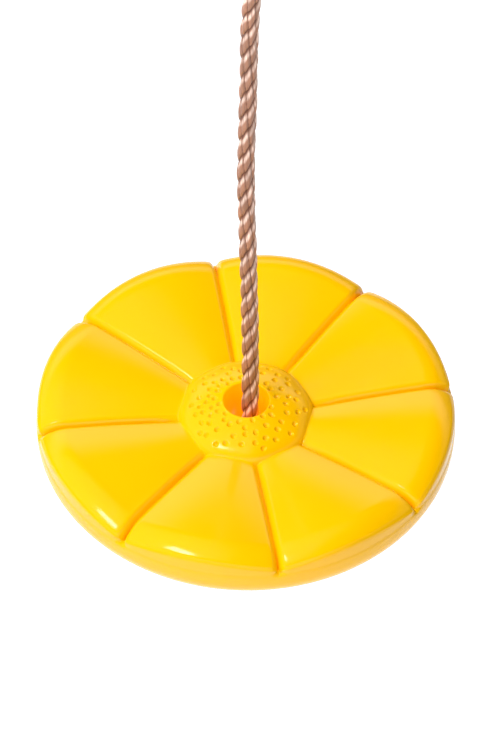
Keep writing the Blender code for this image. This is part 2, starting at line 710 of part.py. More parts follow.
def hook_gate(look):
    """Round gate with a fork over the tang, a slot over the tongue and a bore for its spring."""
    e = GATE_BEVEL
    foot = -TANG_R
    outline = [
        (BAR_R - e, foot), (BAR_R, foot + e), (BAR_R, GATE_TOP - e / 2), (BAR_R - e / 2, GATE_TOP)
    ]
    gate = turned_body("hook_gate", outline, 2 * BAR_SIDES, look)
    bore = [(BORE_R, 0.0), (BORE_R, BORE_DEPTH)]
    tools = (
        box_cutter("gate_fork", 2 * BAR_R, TANG_HALF + GAP, 2 * foot, SLOT_ROOF, look),
        box_cutter("gate_slot", 2 * BAR_R, TONGUE_HALF + GAP, SLOT_FLOOR, 2 * GATE_TOP, look),
        turned_body("gate_bore", bore, BAR_SIDES, look),
        cross_pin("gate_pin_hole", GATE_PIN_R + GAP, 2 * BAR_R, look),
        cross_pin("latch_pin_hole", LATCH_PIN_R + GAP, 2 * BAR_R, look),
    )
    tools[-1].location = (-LATCH_INSET, 0.0, LATCH_RISE)
    for tool in tools:
        tool.parent = gate
        combine(gate, tool, "DIFFERENCE")
    return gate


def gate_spring(look):
    """Small push spring between the bore's end and the plunger, with real curls."""
    low = PLUNGER_FOOT + PLUNGER_LENGTH + SPRING_WIRE_D / 2 + GAP
    high = BORE_DEPTH - SPRING_WIRE_D / 2 - GAP
    radius = BORE_R - SPRING_WIRE_D / 2 - GAP
    count = 8 * max(1, math.ceil((high - low) / SPRING_PITCH))
    route = []
    for k in range(count + 1):
        a = 2 * math.pi * k / 8
        z = lerp(low, high, k / count)
        route.append(Vector((radius * math.cos(a), radius * math.sin(a), z)))
    air = nearest_gap(route, SPRING_WIRE_D, 1.5 * math.pi * radius)
    print("spring: least air to itself, mm:", round(air * 1e3, 2))
    return rope_tube("gate_spring", route, SPRING_WIRE_D / 2, 1, look)


def gate_plunger(look):
    e = PLUNGER_R * 0.4
    outline = [
        (PLUNGER_R - e, 0.0), (PLUNGER_R, e), (PLUNGER_R, PLUNGER_LENGTH - e),
        (PLUNGER_R - e, PLUNGER_LENGTH),
    ]
    return turned_body("gate_plunger", outline, BAR_SIDES, look)


# ---------------------------------------------------------------- the whole object

def build():
    clear_scene()
    yellow = material("yellow_polyethylene", (1.0, 0.64, 0.005), 0.22)
    tan = material("tan_rope", (0.42, 0.22, 0.13), 0.5)
    zinc = material("zinc_plated_steel", (0.62, 0.63, 0.64), 0.32, 1.0)
    bright = material("galvanised_thimble", (0.66, 0.67, 0.68), 0.42, 1.0)
    sleeve = material("swaged_aluminium", (0.80, 0.81, 0.82), 0.35, 1.0)
    wire = material("spring_steel", (0.45, 0.45, 0.46), 0.3, 1.0)
    pins = material("pin_steel", (0.55, 0.55, 0.56), 0.28, 1.0)

    hook_body(zinc)
    hinge = joint_point("gate_hinge", (GATE_X, 0.0, HINGE_Z))
    pin = cross_pin("gate_pin", GATE_PIN_R, BAR_R + GAP, pins, BAR_R * 0.08)
    settle(pin, hinge["place"], hinge)
    for piece in (hook_gate(zinc), gate_spring(wire)):
        settle(piece, hinge["place"], hinge)
    plunger = gate_plunger(pins)
    settle(plunger, Vector(hinge["place"]) + Vector((0.0, 0.0, PLUNGER_FOOT)), hinge)
    latch = cross_pin("latch_pin", LATCH_PIN_R, BAR_R * 0.88, pins, BAR_R * 0.05)
    settle(latch, Vector(hinge["place"]) + Vector((-LATCH_INSET, 0.0, LATCH_RISE)), hinge)

    eye = joint_point("eye_swing", (0.0, 0.0, BOW_Z))
    for piece, height in ((rope_eye(tan), 0.0), (thimble(bright), 0.0), (ferrule(sleeve), FERRULE_TOP)):
        piece.data.transform(Matrix.Translation((0.0, 0.0, height - BOW_Z)))
        settle(piece, eye["place"], eye)

    flex = joint_point("rope_flex", (0.0, -LEG_Y, FLEX_Z), eye)
    run = rope_run(tan)
    run.data.transform(Matrix.Translation((0.0, LEG_Y, -FLEX_Z)))
    settle(run, flex["place"], flex)
    knot_at = Vector((KNOT_X, 0.0, KNOT_Z))
    knot = rope_tube("stopper_knot", knot_route(KNOT_STEP), ROPE_R, 2, tan)
    settle(knot, knot_at, flex)
    tail = rope_tail(tan)
    settle(tail, knot_at + Vector((-CORE_X, 0.0, -SWEEP_DROP - ROPE_R - GAP)), flex)

    lift = joint_point("seat_lift", (0.0, 0.0, WASHER_TOP), flex)
    settle(washer(zinc), lift["place"], lift)
    spin = joint_point("seat_spin", (0.0, 0.0, SEAT_Z), lift)
    settle(seat_shell(yellow), spin["place"], spin)


build()
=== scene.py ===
"""Looks for a hanging disc swing seat: a glossy moulded disc of eight petals, carried by the
stopper knot of one braided rope, with a thimble eye and a snap hook at the top.

Metres, +Z up. The hang point is the origin, and the rope hangs down the Z axis.
"""

import json
import math

import bpy
import numpy as np
from bpy.props import FloatProperty, FloatVectorProperty, IntProperty, PointerProperty
from mathutils import Matrix, Vector

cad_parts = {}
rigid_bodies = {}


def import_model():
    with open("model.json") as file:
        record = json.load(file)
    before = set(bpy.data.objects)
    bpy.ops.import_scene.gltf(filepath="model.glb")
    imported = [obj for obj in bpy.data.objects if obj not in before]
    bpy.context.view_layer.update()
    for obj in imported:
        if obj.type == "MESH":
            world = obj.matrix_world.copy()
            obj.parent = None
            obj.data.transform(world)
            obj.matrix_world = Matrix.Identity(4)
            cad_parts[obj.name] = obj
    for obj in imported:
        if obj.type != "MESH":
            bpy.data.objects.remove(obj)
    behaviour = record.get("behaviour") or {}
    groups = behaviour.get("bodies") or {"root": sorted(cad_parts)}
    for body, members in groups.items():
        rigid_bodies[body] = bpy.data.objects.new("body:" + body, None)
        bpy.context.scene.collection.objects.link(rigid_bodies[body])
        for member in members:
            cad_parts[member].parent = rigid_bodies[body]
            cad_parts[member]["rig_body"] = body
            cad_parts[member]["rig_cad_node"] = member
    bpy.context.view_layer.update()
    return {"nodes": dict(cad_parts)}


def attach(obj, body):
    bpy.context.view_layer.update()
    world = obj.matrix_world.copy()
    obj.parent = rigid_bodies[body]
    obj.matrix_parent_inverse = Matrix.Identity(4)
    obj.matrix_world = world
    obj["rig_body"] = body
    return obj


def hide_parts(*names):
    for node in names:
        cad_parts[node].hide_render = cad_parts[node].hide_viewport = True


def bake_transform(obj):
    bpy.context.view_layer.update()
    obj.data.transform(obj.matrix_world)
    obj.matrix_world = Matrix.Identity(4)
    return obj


bl_info = {
    "name": "Disc Swing Seat",
    "version": (1, 0, 0),
    "blender": (4, 5, 0),
    "location": "3D View > Sidebar > Swing Seat",
    "description": "Models and finishes a rope disc swing seat round its fixed frame",
    "category": "Object",
}

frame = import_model()

GAP = 0.0003

# Seat, with heights from its datum, about the level of the grooves' outer ends. The ledge over
# the rim band, BAND_STEP, is softer than in the CAD, and HUB_DOME is the top of the hub's
# ellipse above the grooves' inner ends
SEAT_Z = -0.580
SEAT_R = 0.140
SEAT_DEPTH = 0.033
PETALS = 8
FIRST_GROOVE = math.radians(100.0)
EDGE_ROUND = 0.020
BAND_TOP = 0.0062
BAND_STEP = 0.0005
PETAL_R = SEAT_R - BAND_STEP
WALL_END = 0.0010
LEDGE_RISE = 0.0006
LEDGE_DROP = 0.0022
PARTING = 0.00009
PARTING_SHARE = 0.62
CROWN_R = 0.1294
CROWN_HEIGHT = 0.0105
CROWN_ROUND = 0.0240
SHOULDER_HEIGHT = 0.0044
SHOULDER_ROUND = 0.0058
PETAL_FOOT = 0.0010
PETAL_BOW = 0.45
PETAL_SLOPE = 0.27
GROOVE_FOOT = 0.0050
GROOVE_DEPTH = 0.0032
GROOVE_DEEPEN = 0.0200
GROOVE_END = 0.0050
GROOVE_HALF = 0.0034
GROOVE_FLOOR = 0.14
GROOVE_POWER = 1.7
CORNER_ROUND = 0.0065
HUB_R = 0.0456
HUB_FLAT = 0.020
HUB_TOP = 0.0100
HOLE_R = 0.0153
HOLE_FOOT_R = 0.0125
HOLE_LIP = 0.0012
HUB_DOME = (HUB_TOP + GROOVE_FOOT) / math.cos(math.asin((HOLE_R + HOLE_LIP) / HUB_R))
RECESS_R = 0.0330
RECESS_DEPTH = 0.0060
RECESS_ROUND = 0.0012
RECESS_FLOOR = -SEAT_DEPTH + RECESS_DEPTH
VENT_R = 0.0025
VENT_AT = 0.085
# How far each dimple is painted toward the groove colour, as painted shade.
DIMPLE_SHADE = 1.1

# Rows and columns of the seat's mesh, and how they crowd together
HOLE_ROWS = 14
LIP_ROWS = 6
DOME_ROWS = 64
HUB_ROWS = HOLE_ROWS + LIP_ROWS + DOME_ROWS
PETAL_ROWS = 44
CROWN_ROWS = 12
PETAL_COLUMNS = 64
DOME_CROWDING = 0.95
PETAL_CROWDING = 1.15
COLUMN_CROWDING = 1.9
# GLOW_FADE_ROWS: rows over the hole's lip where the hole wall's painted glow fades out
GLOW_FADE_ROWS = 8

# Dimples of the hub: distance from the axis in millimetres, bearing in degrees
DIMPLES = (
    (17.4, 341), (17.8, 309), (18.1, 284), (18.3, 222), (18.4, 193), (18.6, 130), (18.8, 33),
    (19.8, 257), (20.0, 49), (20.4, 101), (20.5, 75), (20.6, 11), (20.8, 157), (20.9, 324),
    (21.3, 177), (21.4, 116), (21.4, 208), (22.2, 145), (22.4, 231), (23.7, 196), (23.8, 243),
    (23.8, 269), (24.6, 130), (24.9, 88), (24.9, 170), (24.9, 303), (26.2, 27), (26.5, 183),
    (26.6, 209), (26.6, 358), (26.7, 157), (27.1, 142), (27.4, 47), (27.8, 284), (28.0, 99),
    (28.1, 116), (28.3, 68), (28.5, 270), (28.6, 343), (28.9, 325), (29.0, 11), (30.3, 198),
    (30.8, 218), (30.8, 255), (31.0, 232), (31.1, 313), (31.2, 188), (31.4, 84), (31.8, 107),
    (31.8, 173), (32.8, 149), (33.0, 294), (33.2, 34), (33.4, 130), (33.7, 8), (33.7, 52),
    (34.2, 211), (35.0, 281), (35.1, 197), (35.2, 351), (35.4, 65), (35.4, 94), (35.6, 266),
    (36.3, 77), (36.4, 20), (36.4, 116), (36.4, 304), (36.5, 334), (36.6, 41), (36.6, 140),
    (36.8, 249), (36.9, 182), (37.5, 160), (37.7, 226), (38.3, 322), (39.1, 288), (39.2, 219),
    (39.3, 240), (39.7, 358),
)

# Rope, washer, thimble eye and ferrule
ROPE_R = 0.006
WASHER_FOOT = -0.6103
FERRULE_TOP = -0.112
FERRULE_FOOT = -0.140
DEAD_END = 0.006
LEG_Y = 0.0063
LEG_BEND_R = 0.030
EYE_R = 0.0178
EYE_Z = -0.0737
KNOT_TURNS = 1.5
KNOT_TURN_R = 0.0080
KNOT_SWEEP = 0.0120
CORE_X = 0.0064
TURN_R = 0.0128
TURN_LENGTH = 2 * math.pi * TURN_R + 4 * CORE_X
KNOT_HALF = KNOT_TURNS * TURN_R / 2
SWEEP_DROP = KNOT_HALF + KNOT_TURN_R * TURN_R / TURN_LENGTH + KNOT_SWEEP
KNOT_X = 0.0025 - CORE_X
KNOT_Z = WASHER_FOOT - GAP - SWEEP_DROP - ROPE_R
STRAND_TOP = WASHER_FOOT + 0.0015 - KNOT_Z
TAIL_LENGTH = 0.026
TAIL_MELT = 0.003
ROPE_STEP = 0.00058
BEND_STEP = 0.0006

# Braid: where its pattern starts, and how a stitch curls and swells across and along
COLUMN_START = math.radians(2.5)
STITCH_START = 0.39
STITCH_CURL = 0.26
UNEVEN = 0.12
ACROSS_FULLNESS, ACROSS_STEEPNESS = 3.6, 0.50
ALONG_SKEW, ALONG_FULLNESS, ALONG_STEEPNESS = 1.35, 2.4, 0.60

# The free rope's middle line: drop below the hang point, X, Y
ROPE_ROUTE = (
    (0.1463, 0.0000, -0.0063), (0.1600, -0.0002, -0.0063), (0.1800, -0.0014, -0.0055),
    (0.2000, -0.0026, -0.0036), (0.2250, -0.0034, -0.0014), (0.2520, -0.0034, -0.0002),
    (0.2870, -0.0034, 0.0000), (0.3140, -0.0036, 0.0000), (0.3500, -0.0037, 0.0000),
    (0.3780, -0.0030, 0.0000), (0.4210, -0.0014, 0.0000), (0.4730, 0.0005, 0.0000),
    (0.5220, 0.0019, 0.0000), (0.5700, 0.0025, 0.0000), (0.6085, 0.0025, 0.0000),
)


# ---------------------------------------------------------------- shapes by rule

def arc(center, radius, start, stop, steps):
    """Points on an arc in a plane, with its angles in radians."""
    angles = np.linspace(start, stop, steps + 1)
    return [(center[0] + radius * math.cos(a), center[1] + radius * math.sin(a)) for a in angles]


def mix(a, b, t):
    return a + (b - a) * t


def smooth_line(points, step):
    """Points one step apart on a smooth curve through the given ones."""
    knots = [Vector(p) for p in points]
    knots = [2 * knots[0] - knots[1], *knots, 2 * knots[-1] - knots[-2]]
    made = []
    for a, b, c, d in zip(knots, knots[1:], knots[2:], knots[3:]):
        pieces = max(2, round((c - b).length / step))
        for k in range(pieces):
            t = k / pieces
            made.append(0.5 * (2 * b + (c - a) * t + (2 * a - 5 * b + 4 * c - d) * t**2
                               + (3 * b - a - 3 * c + d) * t**3))
    return even_line([*made, knots[-2]], step)


def line_runs(line):
    """How far along the line each of its points lies."""
    return np.concatenate([[0.0], np.cumsum(np.linalg.norm(np.diff(line, axis=0), axis=1))])


def even_line(points, step):
    """The same line with its points spread evenly along it."""
    line = np.array([tuple(p) for p in points])
    run = line_runs(line)
    spread = np.linspace(0.0, run[-1], max(2, round(run[-1] / step)) + 1)
    return np.stack([np.interp(spread, run, line[:, k]) for k in range(3)], axis=1)


def softened(line, times):
    """The line with its kinks eased, its ends kept."""
    for _ in range(times):
        inner = (line[:-2] + 2 * line[1:-1] + line[2:]) / 4
        line = np.concatenate([line[:1], inner, line[-1:]])
    return line


def line_frames(line, side):
    """Two directions square to the line at each of its points, carried along without twist."""
    ahead = np.gradient(line, axis=0)
    ahead /= np.linalg.norm(ahead, axis=1)[:, None]
    first = np.zeros_like(line)
    current = np.array(side, float)
    for k, direction in enumerate(ahead):
        current = current - direction * (current @ direction)
        current /= np.linalg.norm(current)
        first[k] = current
    return first, np.cross(ahead, first)


# ---------------------------------------------------------------- mesh helpers

def only(piece):
    """Select one piece alone and make it active."""
    bpy.ops.object.select_all(action="DESELECT")
    piece.select_set(True)
    bpy.context.view_layer.objects.active = piece


def grid_piece(name, points, around, along, attributes):
    """A grid primitive laid over points[row][column], with its meeting edges merged.

    around and along say whether the last column and row meet the first. What stays open is filled.
    """
    rows, columns = points.shape[:2]
    bpy.ops.mesh.primitive_grid_add(x_subdivisions=columns - 1, y_subdivisions=rows - 1, size=1.0)
    piece = bpy.context.object
    piece.name = piece.data.name = name
    flat = np.empty(len(piece.data.vertices) * 3)
    piece.data.vertices.foreach_get("co", flat)
    flat = flat.reshape(-1, 3)
    column = np.rint((flat[:, 0] + 0.5) * (columns - 1)).astype(int)
    row = np.rint((flat[:, 1] + 0.5) * (rows - 1)).astype(int)
    piece.data.vertices.foreach_set("co", points[row, column].reshape(-1))
    for key, values in attributes.items():
        kind, field = ("FLOAT_VECTOR", "vector") if values.ndim == 3 else ("FLOAT", "value")
        layer = piece.data.attributes.new(key, kind, "POINT")
        layer.data.foreach_set(field, values[row, column].astype(np.float32).reshape(-1))
    only(piece)
    bpy.ops.object.mode_set(mode="EDIT")
    bpy.ops.mesh.select_all(action="SELECT")
    bpy.ops.mesh.remove_doubles(threshold=1e-6)
    if not (around and along):
        bpy.ops.mesh.fill_holes(sides=0)
    bpy.ops.mesh.select_all(action="SELECT")
    bpy.ops.mesh.normals_make_consistent(inside=False)
    bpy.ops.object.mode_set(mode="OBJECT")
    bpy.ops.object.shade_smooth()
    return piece


def smooth_copy(name):
    """A merged, smoothly shaded copy of a piece of the frame."""
    only(frame["nodes"][name])
    bpy.ops.object.duplicate()
    piece = bpy.context.object
    piece.parent = None
    piece.name = piece.data.name = "smooth_" + name
    del piece["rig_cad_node"]
    bpy.ops.object.mode_set(mode="EDIT")
    bpy.ops.mesh.select_all(action="SELECT")
    bpy.ops.mesh.remove_doubles(threshold=1e-6)
    bpy.ops.object.mode_set(mode="OBJECT")
    bpy.ops.object.shade_smooth_by_angle(angle=math.radians(36.0))
    return piece


def cut(piece, tool):
    """Cut the piece with a tool, which is then removed."""
    only(piece)
    step = piece.modifiers.new("Cut", "BOOLEAN")
    step.operation = "DIFFERENCE"
    step.solver = "EXACT"
    step.object = tool
    bpy.ops.object.modifier_apply(modifier=step.name)
    bpy.data.objects.remove(tool, do_unlink=True)


def finish_piece(piece, look, body, slot, *nodes):
    """Give a piece its material and its body, and hide the nodes that it stands for."""
    piece.data.materials.clear()
    piece.data.materials.append(look)
    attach(piece, body)
    if nodes:
        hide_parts(*nodes)
    return piece


# ---------------------------------------------------------------- node helpers

def node(tree, kind, inputs=(), **settings):
    """A new node, with its sockets set to values or linked to other sockets."""
    made = tree.nodes.new(kind)
    for key, value in settings.items():
        setattr(made, key, value)
    for key, value in dict(inputs).items():
        if isinstance(value, bpy.types.NodeSocket):
            tree.links.new(value, made.inputs[key])
        else:
            made.inputs[key].default_value = value
    return made


def effect_group(name, inputs, outputs):
    """An empty shader node group with named sockets, its input node and its output node."""
    group = bpy.data.node_groups.new(name, "ShaderNodeTree")
    for key, kind, value in inputs:
        socket = group.interface.new_socket(name=key, in_out="INPUT", socket_type=kind)
        if value is not None:
            socket.default_value = value
    for key, kind in outputs:
        group.interface.new_socket(name=key, in_out="OUTPUT", socket_type=kind)
    return group, group.nodes.new("NodeGroupInput"), group.nodes.new("NodeGroupOutput")


def place_group(tree, name, **values):
    """A node for one of the shared effects, with its inputs set by name."""
    return node(tree, "ShaderNodeGroup", values, node_tree=bpy.data.node_groups[name])


def math_node(tree, operation, first, second):
    return node(tree, "ShaderNodeMath", {0: first, 1: second}, operation=operation).outputs[0]


def blend_color(tree, share, first, second, kind="MIX"):
    """A colour between two others, or their product, by the colour sockets of a mix node."""
    made = node(tree, "ShaderNodeMix", {0: share, 6: first, 7: second}, data_type="RGBA",
                blend_type=kind)
    return made.outputs[2]


def range_node(tree, value, low, high, to_low=0.0, to_high=1.0):
    made = node(tree, "ShaderNodeMapRange", {"Value": value, "From Min": low, "From Max": high,
                                             "To Min": to_low, "To Max": to_high})
    return made.outputs[0]


def grey_node(tree, value):
    """The value as a grey colour."""
    return node(tree, "ShaderNodeCombineXYZ", {0: value, 1: value, 2: value}).outputs[0]


def new_look(name):
    """A material with only its shader and output, and the tree they stand in."""
    look = bpy.data.materials.new(name)
    look.use_nodes = True
    return look, look.node_tree, look.node_tree.nodes["Principled BSDF"]


def opaque(color):
    return (*color, 1.0)


# ---------------------------------------------------------------- shared effects

def make_effects():
    """Moulded skin, rope filaments and steel plating, each for any material to use."""
    group, given, out = effect_group(
        "Moulded Skin",
        [("Place", "NodeSocketVector", None), ("Peel", "NodeSocketFloat", 350.0),
         ("Flow", "NodeSocketFloat", 22.0)],
        [("Tone", "NodeSocketFloat"), ("Polish", "NodeSocketFloat"), ("Height", "NodeSocketFloat")],
    )
    flow = node(group, "ShaderNodeTexNoise", {"Vector": given.outputs["Place"],
                                              "Scale": given.outputs["Flow"], "Detail": 3.0})
    peel = node(group, "ShaderNodeTexNoise", {"Vector": given.outputs["Place"],
                                              "Scale": given.outputs["Peel"], "Detail": 2.0})
    scuffs = node(group, "ShaderNodeTexNoise", {"Vector": given.outputs["Place"], "Scale": 60.0,
                                                "Detail": 6.0, "Roughness": 0.7})
    worn = range_node(group, scuffs.outputs[0], 0.52, 0.72)
    polish = math_node(group, "MULTIPLY_ADD", worn, 0.5)
    group.links.new(flow.outputs[0], out.inputs["Tone"])
    group.links.new(polish, out.inputs["Polish"])
    group.links.new(peel.outputs[0], out.inputs["Height"])

    group, given, out = effect_group(
        "Filaments",
        [("Lay", "NodeSocketVector", None), ("Fineness", "NodeSocketFloat", 2000.0)],
        [("Tone", "NodeSocketFloat"), ("Height", "NodeSocketFloat")],
    )
    drawn = node(group, "ShaderNodeMapping", {"Vector": given.outputs["Lay"],
                                              "Scale": (1.0, 1.0, 0.06)})
    fibre = node(group, "ShaderNodeTexNoise", {"Vector": drawn.outputs[0],
                                               "Scale": given.outputs["Fineness"], "Detail": 2.0})
    bundle = node(group, "ShaderNodeTexNoise", {"Vector": drawn.outputs[0], "Scale": 800.0,
                                                "Detail": 1.0})
    both = math_node(group, "ADD", math_node(group, "MULTIPLY", fibre.outputs[0], 0.4),
                     math_node(group, "MULTIPLY", bundle.outputs[0], 0.6))
    group.links.new(range_node(group, both, 0.35, 0.65), out.inputs["Tone"])
    group.links.new(both, out.inputs["Height"])

    group, given, out = effect_group(
        "Plated Steel",
        [("Place", "NodeSocketVector", None), ("Grain", "NodeSocketFloat", 700.0),
         ("Drawn", "NodeSocketVector", (1.0, 1.0, 1.0))],
        [("Tone", "NodeSocketFloat"), ("Polish", "NodeSocketFloat"), ("Height", "NodeSocketFloat")],
    )
    stretched = node(group, "ShaderNodeVectorMath", {0: given.outputs["Place"],
                                                     1: given.outputs["Drawn"]},
                     operation="MULTIPLY")
    grain = node(group, "ShaderNodeTexNoise", {"Vector": stretched.outputs[0],
                                               "Scale": given.outputs["Grain"], "Detail": 3.0})
    cloud = node(group, "ShaderNodeTexNoise", {"Vector": given.outputs["Place"], "Scale": 140.0,
                                               "Detail": 4.0})
    group.links.new(cloud.outputs[0], out.inputs["Tone"])
    group.links.new(grain.outputs[0], out.inputs["Polish"])
    group.links.new(grain.outputs[0], out.inputs["Height"])


# ---------------------------------------------------------------- settings

class SeatSettings(bpy.types.PropertyGroup):
    """Finish of the moulded seat"""
    color: FloatVectorProperty(
        name="Colour", description="Colour of the plastic", subtype="COLOR", size=3,
        default=(1.0, 0.530, 0.0002), min=0.0, max=1.0)
    # Painted shade: the groove colour below is a deeper orange painted on the grooves' floors and
    # in the dimples, standing in for their shade and bounced light.
    groove_shade_color: FloatVectorProperty(
        name="Groove colour", description="Deeper colour at the bottom of the grooves",
        subtype="COLOR", size=3, default=(1.0, 0.46, 0.0002), min=0.0, max=1.0)
    roughness: FloatProperty(
        name="Roughness", description="Roughness of the moulded skin", default=0.13, min=0.0,
        max=1.0, subtype="FACTOR")
    dimple_width: FloatProperty(
        name="Dimple width", description="Diameter of a dimple on the hub", default=0.0036,
        min=0.001, max=0.006, subtype="DISTANCE", unit="LENGTH")
    dimple_depth: FloatProperty(
        name="Dimple depth", description="Depth of a dimple on the hub", default=0.0016,
        min=0.0, max=0.003, subtype="DISTANCE", unit="LENGTH")


class RopeSettings(bpy.types.PropertyGroup):
    """Braid and colours of the rope"""
    columns: IntProperty(
        name="Columns", description="Columns of stitches round the rope", default=6, min=4, max=12)
    pitch: FloatProperty(
        name="Stitch pitch", description="Length of one stitch along its column", default=0.0162,
        min=0.005, max=0.05, subtype="DISTANCE", unit="LENGTH")
    twist: FloatProperty(
        name="Twist", description="Turn of the columns over one stitch", subtype="ANGLE",
        default=math.radians(15.0), min=-1.0, max=1.0)
    crest: FloatProperty(
        name="Crest radius", description="Radius of the rope on its stitches", default=0.00590,
        min=0.002, max=0.02, subtype="DISTANCE", unit="LENGTH")
    crevice: FloatProperty(
        name="Crevice depth", description="Depth of the lines between two stitches",
        default=0.0019, min=0.0, max=0.004, subtype="DISTANCE", unit="LENGTH")
    # Painted highlight: the crest colour below is a pale satin band painted on the upper part of
    # each stitch, standing in for its sheen.
    painted_highlight_color: FloatVectorProperty(
        name="Crest colour", description="Paler filaments on top of each stitch", subtype="COLOR",
        size=3, default=(0.92, 0.68, 0.57), min=0.0, max=1.0)
    body_color: FloatVectorProperty(
        name="Body colour", description="Colour of the filaments", subtype="COLOR", size=3,
        default=(0.41, 0.188, 0.114), min=0.0, max=1.0)
    # Painted shade: the crevice colour below darkens the rope where its stitches sink into the
    # crevices between them.
    crevice_shade_color: FloatVectorProperty(
        name="Crevice colour", description="Colour deep between two stitches", subtype="COLOR",
        size=3, default=(0.120, 0.030, 0.009), min=0.0, max=1.0)


class MetalSettings(bpy.types.PropertyGroup):
    """Finishes of the steel and aluminium pieces"""
    zinc_color: FloatVectorProperty(
        name="Zinc", description="Colour of the plated steel", subtype="COLOR", size=3,
        default=(0.66, 0.68, 0.70), min=0.0, max=1.0)
    aluminium_color: FloatVectorProperty(
        name="Aluminium", description="Colour of the pressed sleeve", subtype="COLOR", size=3,
        default=(0.80, 0.81, 0.82), min=0.0, max=1.0)
    roughness: FloatProperty(
        name="Roughness", description="Roughness of the plating", default=0.30, min=0.0, max=1.0,
        subtype="FACTOR")


class StageSettings(bpy.types.PropertyGroup):
    """Floor, lights and camera"""
    floor_drop: FloatProperty(
        name="Floor below the seat", description="Height of the seat above the floor", default=0.58,
        min=0.2, max=2.0, subtype="DISTANCE", unit="LENGTH")
    soft_power: FloatProperty(
        name="Soft light", description="Power of the wide overhead light", default=168.0, min=0.0,
        max=1000.0, unit="POWER")
    fill_power: FloatProperty(
        name="Fill light", description="Power of the low light in front", default=46.0, min=0.0,
        max=1000.0, unit="POWER")
    key_power: FloatProperty(
        name="Key light", description="Power of the small softbox", default=20.0, min=0.0,
        max=1000.0, unit="POWER")
    elevation: FloatProperty(
        name="Camera elevation", description="Angle of the view above the horizon",
        subtype="ANGLE", default=math.radians(48.6), min=0.0, max=1.5)
    distance: FloatProperty(
        name="Camera distance", description="From the camera to the seat", default=3.6, min=0.5,
        max=20.0, subtype="DISTANCE", unit="LENGTH")


# ---------------------------------------------------------------- stage

class SWINGSEAT_OT_stage(bpy.types.Operator):
    """Make the camera, the pale floor and the soft studio light"""
    bl_idname = "swingseat.stage"
    bl_label = "Stage"

    def execute(self, context):
        settings = context.scene.swingseat_stage
        self.make_camera(context, settings)
        self.make_floor(settings)
        self.make_lights(settings)
        self.make_world(context)
        return {"FINISHED"}

    def make_camera(self, context, settings):
        """The seat's middle falls at a set place in the frame, with the horizon a little tilted."""
        width, height = 500, 750
        scale = 1498.0
        middle = (246.1, 409.4)
        tilt = math.radians(-1.36)
        sharp = scale * settings.distance
        across = middle[0] - width / 2
        down = middle[1] - height / 2
        back = Vector((0.0, -math.cos(settings.elevation), math.sin(settings.elevation)))
        up = Vector((0.0, math.sin(settings.elevation), math.cos(settings.elevation)))
        level = Matrix((Vector((1.0, 0.0, 0.0)), up, back)).transposed()
        level = level @ Matrix.Rotation(tilt, 3, "Z").transposed()
        aim = Vector((across, -down, -sharp)).normalized()
        turn = Vector((0.0, 0.0, -1.0)).rotation_difference(aim).to_matrix()
        placed = (level @ turn.transposed()).to_4x4()
        placed.translation = Vector((0.0, 0.0, SEAT_Z)) + back * settings.distance
        bpy.ops.object.camera_add()
        camera = context.object
        camera.name = "Camera"
        camera.matrix_world = placed
        camera.data.sensor_width = 36.0
        camera.data.lens = sharp / height * camera.data.sensor_width
        camera.data.clip_end = 50.0
        context.scene.camera = camera

    def make_floor(self, settings):
        bpy.ops.mesh.primitive_plane_add(
            size=14.0, location=(0.0, 0.0, SEAT_Z - settings.floor_drop))
        floor = bpy.context.object
        floor.name = "Floor"
        look, tree, shader = new_look("Pale Floor")
        shader.inputs["Roughness"].default_value = 0.9
        shader.inputs["Specular IOR Level"].default_value = 0.2
        place = node(tree, "ShaderNodeTexCoord")
        mottle = node(tree, "ShaderNodeTexNoise", {"Vector": place.outputs["Object"], "Scale": 3.0})
        tree.links.new(blend_color(tree, mottle.outputs[0], (0.60, 0.60, 0.60, 1.0),
                                   (0.63, 0.63, 0.63, 1.0)), shader.inputs["Base Color"])
        shader.inputs["Emission Color"].default_value = (0.56, 0.56, 0.56, 1.0)
        shader.inputs["Emission Strength"].default_value = 1.0
        floor.data.materials.append(look)

    def make_lights(self, settings):
        """Wide soft lights overhead and in front, and a small softbox that draws highlights."""
        for name, size, power, toward, distance in (
            ("Overhead", (4.5, 4.5), settings.soft_power, (-0.55, 0.05, 1.0), 3.2),
            ("Front Fill", (5.0, 2.5), settings.fill_power, (0.10, -1.0, 0.40), 3.4),
            ("Softbox", (0.90, 0.46), settings.key_power, (-0.40, -0.30, 0.87), 3.0),
        ):
            direction = Vector(toward).normalized()
            bpy.ops.object.light_add(type="AREA")
            light = bpy.context.object
            light.name = name
            light.data.shape = "RECTANGLE"
            light.data.size, light.data.size_y = size
            light.data.energy = power
            light.location = Vector((0.0, 0.0, SEAT_Z)) + direction * distance
            light.rotation_euler = direction.to_track_quat("Z", "Y").to_euler()
            light.visible_glossy = name == "Softbox"

    def make_world(self, context):
        """White to the camera. All else meets a band that is brightest behind and in front."""
        world = bpy.data.worlds.new("Studio")
        context.scene.world = world
        world.use_nodes = True
        tree = world.node_tree
        back = tree.nodes["Background"]
        place = node(tree, "ShaderNodeTexCoord")
        parts = node(tree, "ShaderNodeSeparateXYZ", {0: place.outputs["Generated"]})
        low = range_node(tree, parts.outputs["Z"], 0.22, 0.36, 0.12, 1.0)
        high = range_node(tree, parts.outputs["Z"], 0.49, 0.60, 1.0, 0.0)
        off_axis = node(tree, "ShaderNodeMath", {0: parts.outputs["X"]}, operation="ABSOLUTE")
        sides = range_node(tree, off_axis.outputs[0], 0.35, 0.75, 1.0, 0.30)
        band = math_node(tree, "MULTIPLY", math_node(tree, "MULTIPLY", low, high), sides)
        rays = node(tree, "ShaderNodeLightPath")
        share = math_node(tree, "MAXIMUM", band, rays.outputs["Is Camera Ray"])
        tree.links.new(blend_color(tree, share, (0.0, 0.0, 0.0, 1.0), (1.0, 1.0, 1.0, 1.0)),
                       back.inputs["Color"])
        back.inputs["Strength"].default_value = 1.0


